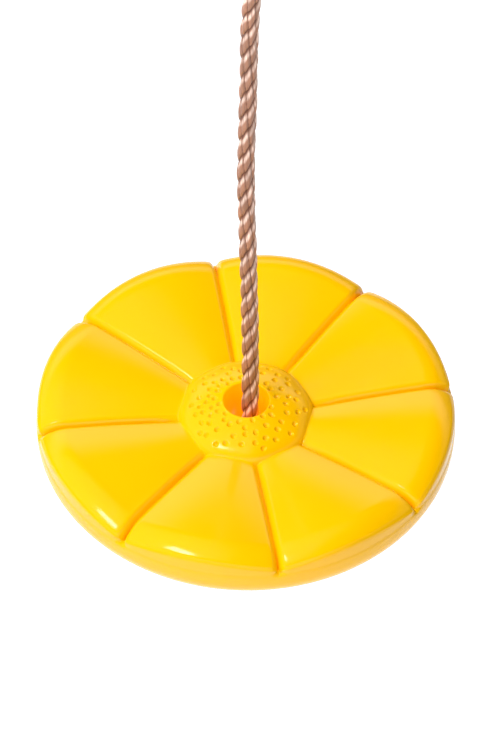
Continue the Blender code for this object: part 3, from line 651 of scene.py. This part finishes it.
# ---------------------------------------------------------------- rope

def stitch_number(column, run, columns):
    """A steady number from 0 to 1 for each stitch, from the last digits of a sine."""
    turns = np.floor(column / columns)
    value = np.sin((np.floor(column) - turns * columns) * 12.9898
                   + (np.floor(run) + turns * columns / 2) * 78.233 + 3.1) * 43758.5453
    return value - np.floor(value)


def braid_rings(settings, line, side, run_start=0.0, swell=None, relief=None, sides=84):
    """Rings of points over a braided rope, with what its material needs at each point."""
    first, second = line_frames(line, side)
    run = run_start + line_runs(line)
    angle = np.linspace(0.0, 2 * math.pi, sides + 1)[None, :]
    turned = angle + COLUMN_START + settings.twist * (run[:, None] / settings.pitch)
    column = turned / (2 * math.pi / settings.columns)
    across = column - np.floor(column)
    bend = column / 2 - STITCH_CURL * np.sin(2 * math.pi * across) / (2 * math.pi)
    stitch = run[:, None] / settings.pitch - bend + STITCH_START
    along = stitch - np.floor(stitch)
    number = stitch_number(column, stitch, settings.columns)
    arch = (1 - np.abs(2 * across - 1) ** ACROSS_FULLNESS) ** ACROSS_STEEPNESS
    bow = (1 - np.abs(2 * along ** ALONG_SKEW - 1) ** ALONG_FULLNESS) ** ALONG_STEEPNESS
    height = arch * bow
    size = settings.crevice * mix(1 - UNEVEN, 1 + UNEVEN, number)
    depth = np.ones(len(line)) if relief is None else np.asarray(relief)
    wide = np.ones(len(line)) if swell is None else np.asarray(swell)
    radius = settings.crest * wide[:, None] - size * depth[:, None] * (1 - height)
    outward = (np.cos(angle)[..., None] * first[:, None, :]
               + np.sin(angle)[..., None] * second[:, None, :])
    points = line[:, None, :] + radius[..., None] * outward
    lay = np.stack([ROPE_R * np.cos(turned), ROPE_R * np.sin(turned),
                    np.broadcast_to(run[:, None], turned.shape)], axis=2)
    return points, {
        "crest": height,
        "shoulder": np.broadcast_to(along, height.shape).copy(),
        "tone": number,
        "melt": np.broadcast_to((1 - depth)[:, None], height.shape).copy(),
        "lay": lay,
    }


def free_line():
    """Middle line of the free rope, from inside the ferrule down to the knot."""
    points = [(x, y, -drop) for drop, x, y in ROPE_ROUTE]
    return smooth_line([(0.0, -LEG_Y, FERRULE_FOOT + 0.004), *points], ROPE_STEP)


def eye_line():
    """Middle line of the eye: up the live leg, over the thimble and down to the cut end."""
    bend_at = (LEG_Y + LEG_BEND_R, FERRULE_TOP + 0.002)
    reach = math.hypot(bend_at[0], EYE_Z - bend_at[1])
    lean = math.atan2(EYE_Z - bend_at[1], bend_at[0]) - math.acos((EYE_R + LEG_BEND_R) / reach)
    side = arc((0.0, EYE_Z), EYE_R, math.pi / 2, -lean, 60)
    side += [(bend_at[0] - LEG_BEND_R * math.cos(a), bend_at[1] + LEG_BEND_R * math.sin(a))
             for a in np.linspace(lean, 0.0, 16)]
    left = [(-y, z) for y, z in reversed([*side[1:], (LEG_Y, FERRULE_FOOT + 0.006)])]
    route = [(0.0, y, z) for y, z in [*left, *side, (LEG_Y, FERRULE_FOOT - DEAD_END)]]
    return softened(even_line(route, BEND_STEP), 20)


def knot_turn(run):
    """Place on a turn of the knot, run metres round it."""
    bend = math.pi * TURN_R / 2
    rest = run % TURN_LENGTH
    for length, center, start in (
        (bend, CORE_X, 0.0), (2 * CORE_X, None, 1.0), (2 * bend, -CORE_X, math.pi / 2),
        (2 * CORE_X, None, -1.0), (bend, CORE_X, -math.pi / 2),
    ):
        if rest <= length + 1e-9:
            break
        rest -= length
    if center is None:
        x, y = start * (CORE_X - rest), start * TURN_R
    else:
        a = start + rest / TURN_R
        x, y = center + TURN_R * math.cos(a), TURN_R * math.sin(a)
    return Vector((x, y, TURN_R * run / TURN_LENGTH - KNOT_HALF))


def knot_line():
    """Middle line of the stopper knot: down the core, round both strands, down the core again."""
    low = -SWEEP_DROP
    turn = [Vector((CORE_X, -KNOT_TURN_R + v, low + KNOT_TURN_R + u))
            for v, u in arc((0.0, 0.0), KNOT_TURN_R, 0.0, -math.pi / 2, 12)]
    across = Vector((-TURN_R, 0.0, -KNOT_SWEEP)) / 2
    middle = Vector((CORE_X + TURN_R / 2, -KNOT_TURN_R, low + KNOT_SWEEP / 2))
    outward = Vector((0.0, -across.length, 0.0))
    sweep = [middle + across * math.cos(math.pi * k / 24) + outward * math.sin(math.pi * k / 24)
             for k in range(1, 25)]
    turns = [knot_turn(KNOT_TURNS * TURN_LENGTH * k / 180) for k in range(181)]
    rest = [*turn, *sweep]
    mirrored = [Vector((-p.x, p.y, -p.z)) for p in reversed(rest)]
    top = Vector((CORE_X, 0.0, STRAND_TOP))
    foot = Vector((-CORE_X, 0.0, -SWEEP_DROP - ROPE_R))
    route = [top, *rest, *turns, *mirrored, foot]
    at = Vector((KNOT_X, 0.0, KNOT_Z))
    return softened(even_line([p + at for p in route], BEND_STEP), 24)


def rope_look(settings):
    """Multifilament rope, with painted shade dark in its crevices and a painted pale satin
    highlight over the upper part of each stitch.
    """
    look, tree, shader = new_look("Braided Rope")
    crest, shoulder, tone, melt = (
        node(tree, "ShaderNodeAttribute", attribute_name=key).outputs["Fac"]
        for key in ("crest", "shoulder", "tone", "melt"))
    lay = node(tree, "ShaderNodeAttribute", attribute_name="lay").outputs["Vector"]
    fibre = place_group(tree, "Filaments", Lay=lay)
    # Painted shade: the colour darkens toward the crevice colour where the stitch height falls.
    deep = range_node(tree, crest, 0.05, 0.62)
    color = blend_color(tree, deep, opaque(settings.crevice_shade_color), opaque(settings.body_color))
    # Painted highlight: a pale satin band over the upper part of each stitch, where it faces up,
    # ragged along its filaments.
    rise = range_node(tree, shoulder, 0.08, 0.20)
    fall = range_node(tree, shoulder, 0.34, 0.50, 1.0, 0.0)
    band = math_node(tree, "MULTIPLY", math_node(tree, "MULTIPLY", rise, fall),
                     range_node(tree, crest, 0.30, 0.70))
    painted_highlight_share = math_node(tree, "MULTIPLY", band,
                       range_node(tree, fibre.outputs["Tone"], 0.2, 0.8, 0.50, 0.92))
    color = blend_color(tree, painted_highlight_share, color, opaque(settings.painted_highlight_color))
    streak = range_node(tree, fibre.outputs["Tone"], 0.0, 1.0, 0.76, 1.20)
    varied = range_node(tree, tone, 0.0, 1.0, 0.90, 1.10)
    shade = math_node(tree, "MULTIPLY", streak, varied)
    color = blend_color(tree, 1.0, color, grey_node(tree, shade), "MULTIPLY")
    color = blend_color(tree, range_node(tree, melt, 0.55, 0.95), color, (0.085, 0.034, 0.016, 1.0))
    tree.links.new(color, shader.inputs["Base Color"])
    tree.links.new(range_node(tree, fibre.outputs["Tone"], 0.0, 1.0, 0.34, 0.56),
                   shader.inputs["Roughness"])
    shader.inputs["Specular IOR Level"].default_value = 0.5
    bump = node(tree, "ShaderNodeBump", {"Height": fibre.outputs["Height"], "Strength": 0.55,
                                         "Distance": 0.0004})
    tree.links.new(bump.outputs[0], shader.inputs["Normal"])
    return look


class SWINGSEAT_OT_rope(bpy.types.Operator):
    """Braid the free rope, its eye, the stopper knot and the free end"""
    bl_idname = "swingseat.rope"
    bl_label = "Rope"

    def execute(self, context):
        settings = context.scene.swingseat_rope
        look = rope_look(settings)
        side = (1.0, 0.0, 0.0)

        line = free_line()
        run = np.linspace(0.0, 1.0, len(line)) * (len(line) - 1) * ROPE_STEP
        swell = np.interp(run, [0.0, 0.004, 0.009], [0.94, 0.95, 1.0])
        points, facts = braid_rings(settings, line, side, swell=swell)
        free = grid_piece("free_rope", points, True, False, facts)
        long = float(np.linalg.norm(np.diff(line, axis=0), axis=1).sum())
        free.data.materials.append(look)
        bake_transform(free)
        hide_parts("rope_run")

        knot_at = knot_line()
        points, facts = braid_rings(settings, knot_at, side, run_start=long, sides=72)
        knot_end = long + float(np.linalg.norm(np.diff(knot_at, axis=0), axis=1).sum())
        end_side = line_frames(knot_at, side)[0][-1]
        knot = grid_piece("knot_rope", points, True, False, facts)
        finish_piece(knot, look, "rope", "rope", "stopper_knot")

        tail_top = KNOT_Z - SWEEP_DROP - ROPE_R
        reach = TAIL_LENGTH + TAIL_MELT
        tail_line = even_line([(KNOT_X - CORE_X, 0.0, tail_top),
                               (KNOT_X - CORE_X, 0.0, tail_top - reach)], 0.0005)
        down = np.linspace(0.0, reach, len(tail_line))
        swell = np.interp(down, [0.0, 0.019, 0.024, 0.0265, 0.0280, 0.0290],
                          [1.0, 1.0, 1.07, 1.05, 0.78, 0.30])
        relief = np.interp(down, [0.0, 0.019, 0.024, 0.029], [1.0, 0.95, 0.25, 0.0])
        points, facts = braid_rings(settings, tail_line, end_side, run_start=knot_end, swell=swell,
                                    relief=relief, sides=72)
        tail = grid_piece("tail_rope", points, True, False, facts)
        finish_piece(tail, look, "rope", "rope", "rope_tail")

        eye_at = eye_line()
        share = np.linspace(0.0, 1.0, len(eye_at))
        relief = np.interp(share, [0.0, 0.975, 1.0], [1.0, 1.0, 0.2])
        swell = np.interp(share, [0.0, 0.985, 1.0], [1.0, 1.0, 0.9])
        points, facts = braid_rings(settings, eye_at, side, run_start=0.013, swell=swell,
                                    relief=relief, sides=72)
        eye = grid_piece("eye_rope", points, True, False, facts)
        finish_piece(eye, look, "eye", "rope", "rope_eye")

        return {"FINISHED"}


# ---------------------------------------------------------------- seat

def fillet(before, corner, after, radius, steps):
    """Points of an arc that rounds off a corner between two straight lines."""
    before, corner, after = Vector(before), Vector(corner), Vector(after)
    back, ahead = (before - corner).normalized(), (after - corner).normalized()
    half = back.angle(ahead) / 2
    center = corner + (back + ahead).normalized() * radius / math.sin(half)
    first = corner + back * radius / math.tan(half) - center
    last = corner + ahead * radius / math.tan(half) - center
    turn = math.pi - 2 * half
    return [tuple(center + (first * math.sin((1 - k / steps) * turn)
                            + last * math.sin(k / steps * turn)) / math.sin(turn))
            for k in range(steps + 1)]


def petal_line():
    """Middle line of a petal (radius, height), from the hub over the crown and down its wall."""
    run, rise = CROWN_R - HUB_R, CROWN_HEIGHT + PETAL_FOOT
    crown, corner = (CROWN_R, CROWN_HEIGHT), (PETAL_R, SHOULDER_HEIGHT)
    before = (CROWN_R - run, CROWN_HEIGHT - rise * (1 - PETAL_BOW))
    top = fillet(before, crown, corner, CROWN_ROUND, CROWN_ROWS)
    edge = fillet(crown, corner, (PETAL_R, -BAND_TOP), SHOULDER_ROUND, CROWN_ROWS)
    last = (top[0][0] - HUB_R) / run
    points = []
    for k in range(PETAL_ROWS):
        t = last * (k / PETAL_ROWS) ** PETAL_CROWDING
        bowed = (1 - PETAL_BOW) * t + PETAL_BOW * (1 - (1 - t) ** 2)
        points.append((HUB_R + run * t, -PETAL_FOOT + rise * bowed))
    points += top
    points += [(mix(top[-1][0], edge[0][0], t), mix(top[-1][1], edge[0][1], t))
               for t in (0.25, 0.5, 0.75)]
    points += edge
    points += [(PETAL_R, mix(edge[-1][1], -BAND_TOP + WALL_END, t)) for t in (0.33, 0.66, 1.0)]
    return points


def petal_fall(radius):
    """How far a petal's side lies below its middle."""
    return PETAL_SLOPE * radius * math.pi / PETALS / 2


def petal_skin(off):
    """Outline (radius, height) of a petal, off radians away from a groove, and how far each point
    is from the groove's floor, from 0 to 1."""
    part = off / (math.pi / PETALS)
    pillow = 1 - (1 - part) ** 2
    foot_depth = GROOVE_FOOT - PETAL_FOOT - petal_fall(HUB_R)
    skin, shares = [], []
    for k, (pr, pz) in enumerate(petal_line()):
        fade = 1.0
        if k > PETAL_ROWS:
            fade = min(max((pz + BAND_TOP) / (SHOULDER_HEIGHT + BAND_TOP), 0.0), 1.0)
        fall = petal_fall(pr) * fade
        depth = mix(foot_depth, GROOVE_DEPTH, min((pr - HUB_R) / GROOVE_DEEPEN, 1.0)) * fade
        gr = pr - GROOVE_END * (pr - HUB_R) / (PETAL_R - HUB_R)
        away = gr * math.sin(off)
        x = min(math.hypot(away / GROOVE_HALF, GROOVE_FLOOR) - GROOVE_FLOOR, 1.0)
        side = 1 - (1 - x) ** GROOVE_POWER
        corner = min(away / CORNER_ROUND, 1.0)
        plan = side if k < PETAL_ROWS else math.sqrt(1 - (1 - corner) ** 2)
        skin.append((mix(gr, pr, plan), pz - fall * (1 - pillow) - depth * (1 - side)))
        shares.append(side)
    return skin, shares


def hub_skin(off, foot_z):
    """Outline from the hole's foot over its lip and the dome, and the dome's reach at foot_z."""
    part = off / (math.pi / PETALS)
    hub_r = HUB_R * (1 - HUB_FLAT * math.sin(part * math.pi / 2) ** 2)
    points = [(mix(HOLE_FOOT_R, HOLE_R, k / HOLE_ROWS),
               mix(RECESS_FLOOR, HUB_TOP - HOLE_LIP, k / HOLE_ROWS)) for k in range(HOLE_ROWS)]
    points += arc((HOLE_R + HOLE_LIP, HUB_TOP - HOLE_LIP), HOLE_LIP, math.pi, math.pi / 2,
                  LIP_ROWS)[:-1]
    start = math.asin((HOLE_R + HOLE_LIP) / hub_r)
    foot = math.acos(min((foot_z + GROOVE_FOOT) / HUB_DOME, 1.0))
    for k in range(DOME_ROWS):
        a = mix(start, foot, (k / DOME_ROWS) ** DOME_CROWDING)
        points.append((hub_r * math.sin(a), -GROOVE_FOOT + HUB_DOME * math.cos(a)))
    return points, hub_r * math.sin(foot)


def lower_skin(inner_r):
    """Outline from the petals' wall over the ledge, the rim band with its fine parting line and
    the underside to the recess and back to the hole."""
    points = [(mix(inner_r, SEAT_R, t * t * (3 - 2 * t)),
               -BAND_TOP + mix(LEDGE_RISE, -LEDGE_DROP, t))
              for t in (0.12, 0.25, 0.38, 0.5, 0.62, 0.75, 0.88, 1.0)]
    band_z = -SEAT_DEPTH + EDGE_ROUND
    seam = mix(-BAND_TOP, band_z, PARTING_SHARE)
    points += [(SEAT_R + PARTING * (1 - abs(k) / 3) ** 2, seam + 0.0002 * k)
               for k in range(3, -4, -1)]
    points += arc((SEAT_R - EDGE_ROUND, band_z), EDGE_ROUND, 0.0, -math.pi / 2, 18)
    recess_r = RECESS_R + RECESS_ROUND
    points += [(mix(SEAT_R - EDGE_ROUND, recess_r, k / 16), -SEAT_DEPTH) for k in range(1, 17)]
    points += arc((recess_r, -SEAT_DEPTH + RECESS_ROUND), RECESS_ROUND, -math.pi / 2, -math.pi,
                  4)[1:]
    foot_r = RECESS_R - RECESS_ROUND
    points += [(foot_r, RECESS_FLOOR - 0.0002), (foot_r - 0.0010, RECESS_FLOOR)]
    points += [(mix(foot_r - 0.0010, HOLE_FOOT_R + 0.0006, k / 5), RECESS_FLOOR)
               for k in range(1, 6)]
    return points


def seat_outline(off):
    """Closed outline (radius, height) of the seat, off radians away from a groove, and a number for
    each point: 0 on a groove's floor, where shade is painted,
    1 on the open skin and 2 on the wall of the hole, which gets a painted glow that fades over its
    lip."""
    skin, shares = petal_skin(off)
    points, reach = hub_skin(off, skin[0][1])
    # 2 marks the hole's wall for its painted glow, fading to 1 over the lip's rows
    shares = [mix(2.0, 1.0, min(max(k - HOLE_ROWS - 1, 0) / GLOW_FADE_ROWS, 1.0))
              for k in range(len(points))] + shares
    shift = HUB_R - reach
    for r, z in skin:
        points.append((r - shift * max(1 - (r - HUB_R) / (CROWN_R - HUB_R), 0.0), z))

    first, last = HUB_ROWS - 3, HUB_ROWS + 4
    for _ in range(4):
        near = [(points[k - 1], points[k], points[k + 1]) for k in range(first, last)]
        points[first:last] = [tuple((a + 2 * b + c) / 4 for a, b, c in zip(*three))
                              for three in near]

    points += lower_skin(points[-1][0])
    shares += [1.0] * (len(points) - len(shares))
    return points, shares


def seat_look(settings):
    """Glossy blow-moulded polyethylene, with painted shade deepening its colour on the grooves'
    floors and in the dimples, and a painted orange glow on the wall of the hole.
    """
    look, tree, shader = new_look("Moulded Plastic")
    place = node(tree, "ShaderNodeTexCoord").outputs["Object"]
    skin = place_group(tree, "Moulded Skin", Place=place)
    petal = node(tree, "ShaderNodeAttribute", attribute_name="petal").outputs["Fac"]
    # Painted shade: the grooves' floors and the dimples, where the petal share is low, take the
    # deeper groove colour.
    color = blend_color(tree, range_node(tree, petal, 0.0, 0.45), opaque(settings.groove_shade_color),
                        opaque(settings.color))
    shade = range_node(tree, skin.outputs["Tone"], 0.3, 0.7, 0.985, 1.015)
    color = blend_color(tree, 1.0, color, grey_node(tree, shade), "MULTIPLY")
    tree.links.new(color, shader.inputs["Base Color"])
    tree.links.new(range_node(tree, skin.outputs["Polish"], 0.5, 1.0, settings.roughness,
                              settings.roughness + 0.07), shader.inputs["Roughness"])
    bump = node(tree, "ShaderNodeBump", {"Height": skin.outputs["Height"], "Strength": 0.03,
                                         "Distance": 0.0003})
    tree.links.new(bump.outputs[0], shader.inputs["Normal"])
    shader.inputs["Specular IOR Level"].default_value = 0.42
    # Painted glow: an orange emission on the wall of the hole, fading out over its lip, standing in
    # for light that comes through the plastic.
    through = blend_color(tree, range_node(tree, petal, 1.0, 2.0), (0.0, 0.0, 0.0, 1.0),
                          (0.46, 0.15, 0.0, 1.0))
    tree.links.new(through, shader.inputs["Emission Color"])
    shader.inputs["Emission Strength"].default_value = 1.0
    return look


class SWINGSEAT_OT_seat(bpy.types.Operator):
    """Mould the petalled disc with its dimpled hub"""
    bl_idname = "swingseat.seat"
    bl_label = "Seat"

    def execute(self, context):
        settings = context.scene.swingseat_seat
        middle = PETAL_COLUMNS // 2
        half = [(k / middle) ** COLUMN_CROWDING * math.pi / PETALS for k in range(middle + 1)]
        outlines = [seat_outline(off) for off in half]
        turned, rows, shares = [], [], []
        for n in range(PETALS):
            for k in range(PETAL_COLUMNS):
                near = k if k <= middle else PETAL_COLUMNS - k
                off = half[near] if k <= middle else 2 * math.pi / PETALS - half[near]
                turned.append(FIRST_GROOVE + n * 2 * math.pi / PETALS + off)
                rows.append(outlines[near][0])
                shares.append(outlines[near][1])
        rows, shares, turned = np.array(rows), np.array(shares), np.array(turned)
        radius, height = rows[..., 0], rows[..., 1]
        points = np.stack([radius * np.cos(turned)[:, None], radius * np.sin(turned)[:, None],
                           height], axis=2)
        self.press_dimples(points, shares, settings)
        points[..., 2] += SEAT_Z
        points = np.concatenate([points, points[:1]])
        points = np.concatenate([points, points[:, :1]], axis=1)
        shares = np.concatenate([shares, shares[:1]])
        shares = np.concatenate([shares, shares[:, :1]], axis=1)
        seat = grid_piece("moulded_seat", points, True, True, {"petal": shares})
        self.cut_vent(seat)
        finish_piece(seat, seat_look(settings), "seat", "seat_plastic", "seat_shell")
        return {"FINISHED"}

    def press_dimples(self, points, shares, settings):
        """Push each dimple into the hub's dome, and paint shade into it."""
        rows = slice(HOLE_ROWS + LIP_ROWS, HUB_ROWS)
        skin = points[:, rows]
        reach = settings.dimple_width / 2
        slope = np.stack([skin[..., 0] / HUB_R**2, skin[..., 1] / HUB_R**2,
                          (skin[..., 2] + GROOVE_FOOT) / HUB_DOME**2], axis=2)
        outward = slope / np.linalg.norm(slope, axis=2)[..., None]
        sunk = np.zeros(skin.shape[:2])
        for away, bearing in DIMPLES:
            r, a = away / 1000, math.radians(bearing)
            at = np.array([r * math.cos(a), r * math.sin(a),
                           -GROOVE_FOOT + HUB_DOME * math.sqrt(1 - (r / HUB_R) ** 2)])
            share = np.clip(1 - (np.linalg.norm(skin - at, axis=2) / reach) ** 2, 0.0, 1.0)
            sunk = np.maximum(sunk, share ** 0.8 * (1 - 0.25 * share))
        # Painted shade: each dimple's share is lowered toward the groove colour.
        shares[:, rows] -= DIMPLE_SHADE * sunk
        points[:, rows] = skin - outward * (sunk * settings.dimple_depth / 0.75)[..., None]

    def cut_vent(self, seat):
        angle = FIRST_GROOVE + math.pi / PETALS
        bpy.ops.mesh.primitive_cylinder_add(
            vertices=32, radius=VENT_R, depth=0.008,
            location=(VENT_AT * math.cos(angle), VENT_AT * math.sin(angle), SEAT_Z - SEAT_DEPTH))
        cut(seat, bpy.context.object)


# ---------------------------------------------------------------- metal

def metal_look(name, color, roughness, grain=700.0, drawn=(1.0, 1.0, 1.0), bump_size=0.00006):
    look, tree, shader = new_look(name)
    place = node(tree, "ShaderNodeTexCoord").outputs["Object"]
    skin = place_group(tree, "Plated Steel", Place=place, Grain=grain, Drawn=drawn)
    dark = tuple(0.78 * c for c in color)
    tree.links.new(blend_color(tree, range_node(tree, skin.outputs["Tone"], 0.35, 0.65),
                               opaque(dark), opaque(color)), shader.inputs["Base Color"])
    tree.links.new(range_node(tree, skin.outputs["Polish"], 0.3, 0.7, roughness - 0.07,
                              roughness + 0.10), shader.inputs["Roughness"])
    shader.inputs["Metallic"].default_value = 1.0
    bump = node(tree, "ShaderNodeBump", {"Height": skin.outputs["Height"], "Strength": 0.35,
                                         "Distance": bump_size})
    tree.links.new(bump.outputs[0], shader.inputs["Normal"])
    return look


class SWINGSEAT_OT_metal(bpy.types.Operator):
    """Finish the snap hook, the thimble, the ferrule and the washer"""
    bl_idname = "swingseat.metal"
    bl_label = "Metal pieces"

    def execute(self, context):
        settings = context.scene.swingseat_metal
        zinc, rough = tuple(settings.zinc_color), settings.roughness
        plated = metal_look("Zinc Plate", zinc, rough)
        turned = metal_look("Turned Steel", (0.55, 0.55, 0.56), rough - 0.04)
        wire = metal_look("Drawn Wire", (0.42, 0.42, 0.43), rough)
        dipped = metal_look("Galvanised", (0.60, 0.62, 0.64), rough + 0.14, 300.0)
        pressed = metal_look("Pressed Aluminium", tuple(settings.aluminium_color), rough + 0.05,
                             500.0, (1.0, 1.0, 0.15))
        for name, look, slot in (
            ("hook_body", plated, "zinc_steel"), ("hook_gate", plated, "zinc_steel"),
            ("gate_pin", turned, "pin_steel"), ("latch_pin", turned, "pin_steel"),
            ("gate_plunger", turned, "pin_steel"), ("gate_spring", wire, "spring_steel"),
            ("thimble", dipped, "thimble_steel"), ("load_washer", plated, "washer_steel"),
            ("ferrule", pressed, "ferrule_aluminium"),
        ):
            finish_piece(smooth_copy(name), look, frame["nodes"][name]["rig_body"], slot, name)
        return {"FINISHED"}


# ---------------------------------------------------------------- panel

class SWINGSEAT_PT_panel(bpy.types.Panel):
    """Lists the pieces of the swing seat"""
    bl_label = "Swing Seat"
    bl_idname = "SWINGSEAT_PT_panel"
    bl_space_type = "VIEW_3D"
    bl_region_type = "UI"
    bl_category = "Swing Seat"

    def draw(self, context):
        scene = context.scene
        for operator, settings in (
            (SWINGSEAT_OT_stage, scene.swingseat_stage), (SWINGSEAT_OT_rope, scene.swingseat_rope),
            (SWINGSEAT_OT_seat, scene.swingseat_seat), (SWINGSEAT_OT_metal, scene.swingseat_metal),
        ):
            box = self.layout.box()
            for key in settings.bl_rna.properties.keys():
                if key not in ("rna_type", "name"):
                    box.prop(settings, key)
            box.operator(operator.bl_idname)


CLASSES = (
    SeatSettings, RopeSettings, MetalSettings, StageSettings, SWINGSEAT_OT_stage,
    SWINGSEAT_OT_rope, SWINGSEAT_OT_seat, SWINGSEAT_OT_metal, SWINGSEAT_PT_panel,
)


def register():
    for item in CLASSES:
        bpy.utils.register_class(item)
    bpy.types.Scene.swingseat_seat = PointerProperty(type=SeatSettings)
    bpy.types.Scene.swingseat_rope = PointerProperty(type=RopeSettings)
    bpy.types.Scene.swingseat_metal = PointerProperty(type=MetalSettings)
    bpy.types.Scene.swingseat_stage = PointerProperty(type=StageSettings)


def unregister():
    del bpy.types.Scene.swingseat_stage
    del bpy.types.Scene.swingseat_metal
    del bpy.types.Scene.swingseat_rope
    del bpy.types.Scene.swingseat_seat
    for item in reversed(CLASSES):
        bpy.utils.unregister_class(item)


def main():
    register()
    bpy.context.scene.view_settings.view_transform = "Standard"
    make_effects()
    bpy.ops.swingseat.stage()
    bpy.ops.swingseat.rope()
    bpy.ops.swingseat.seat()
    bpy.ops.swingseat.metal()


if __name__ == "__main__":
    main()
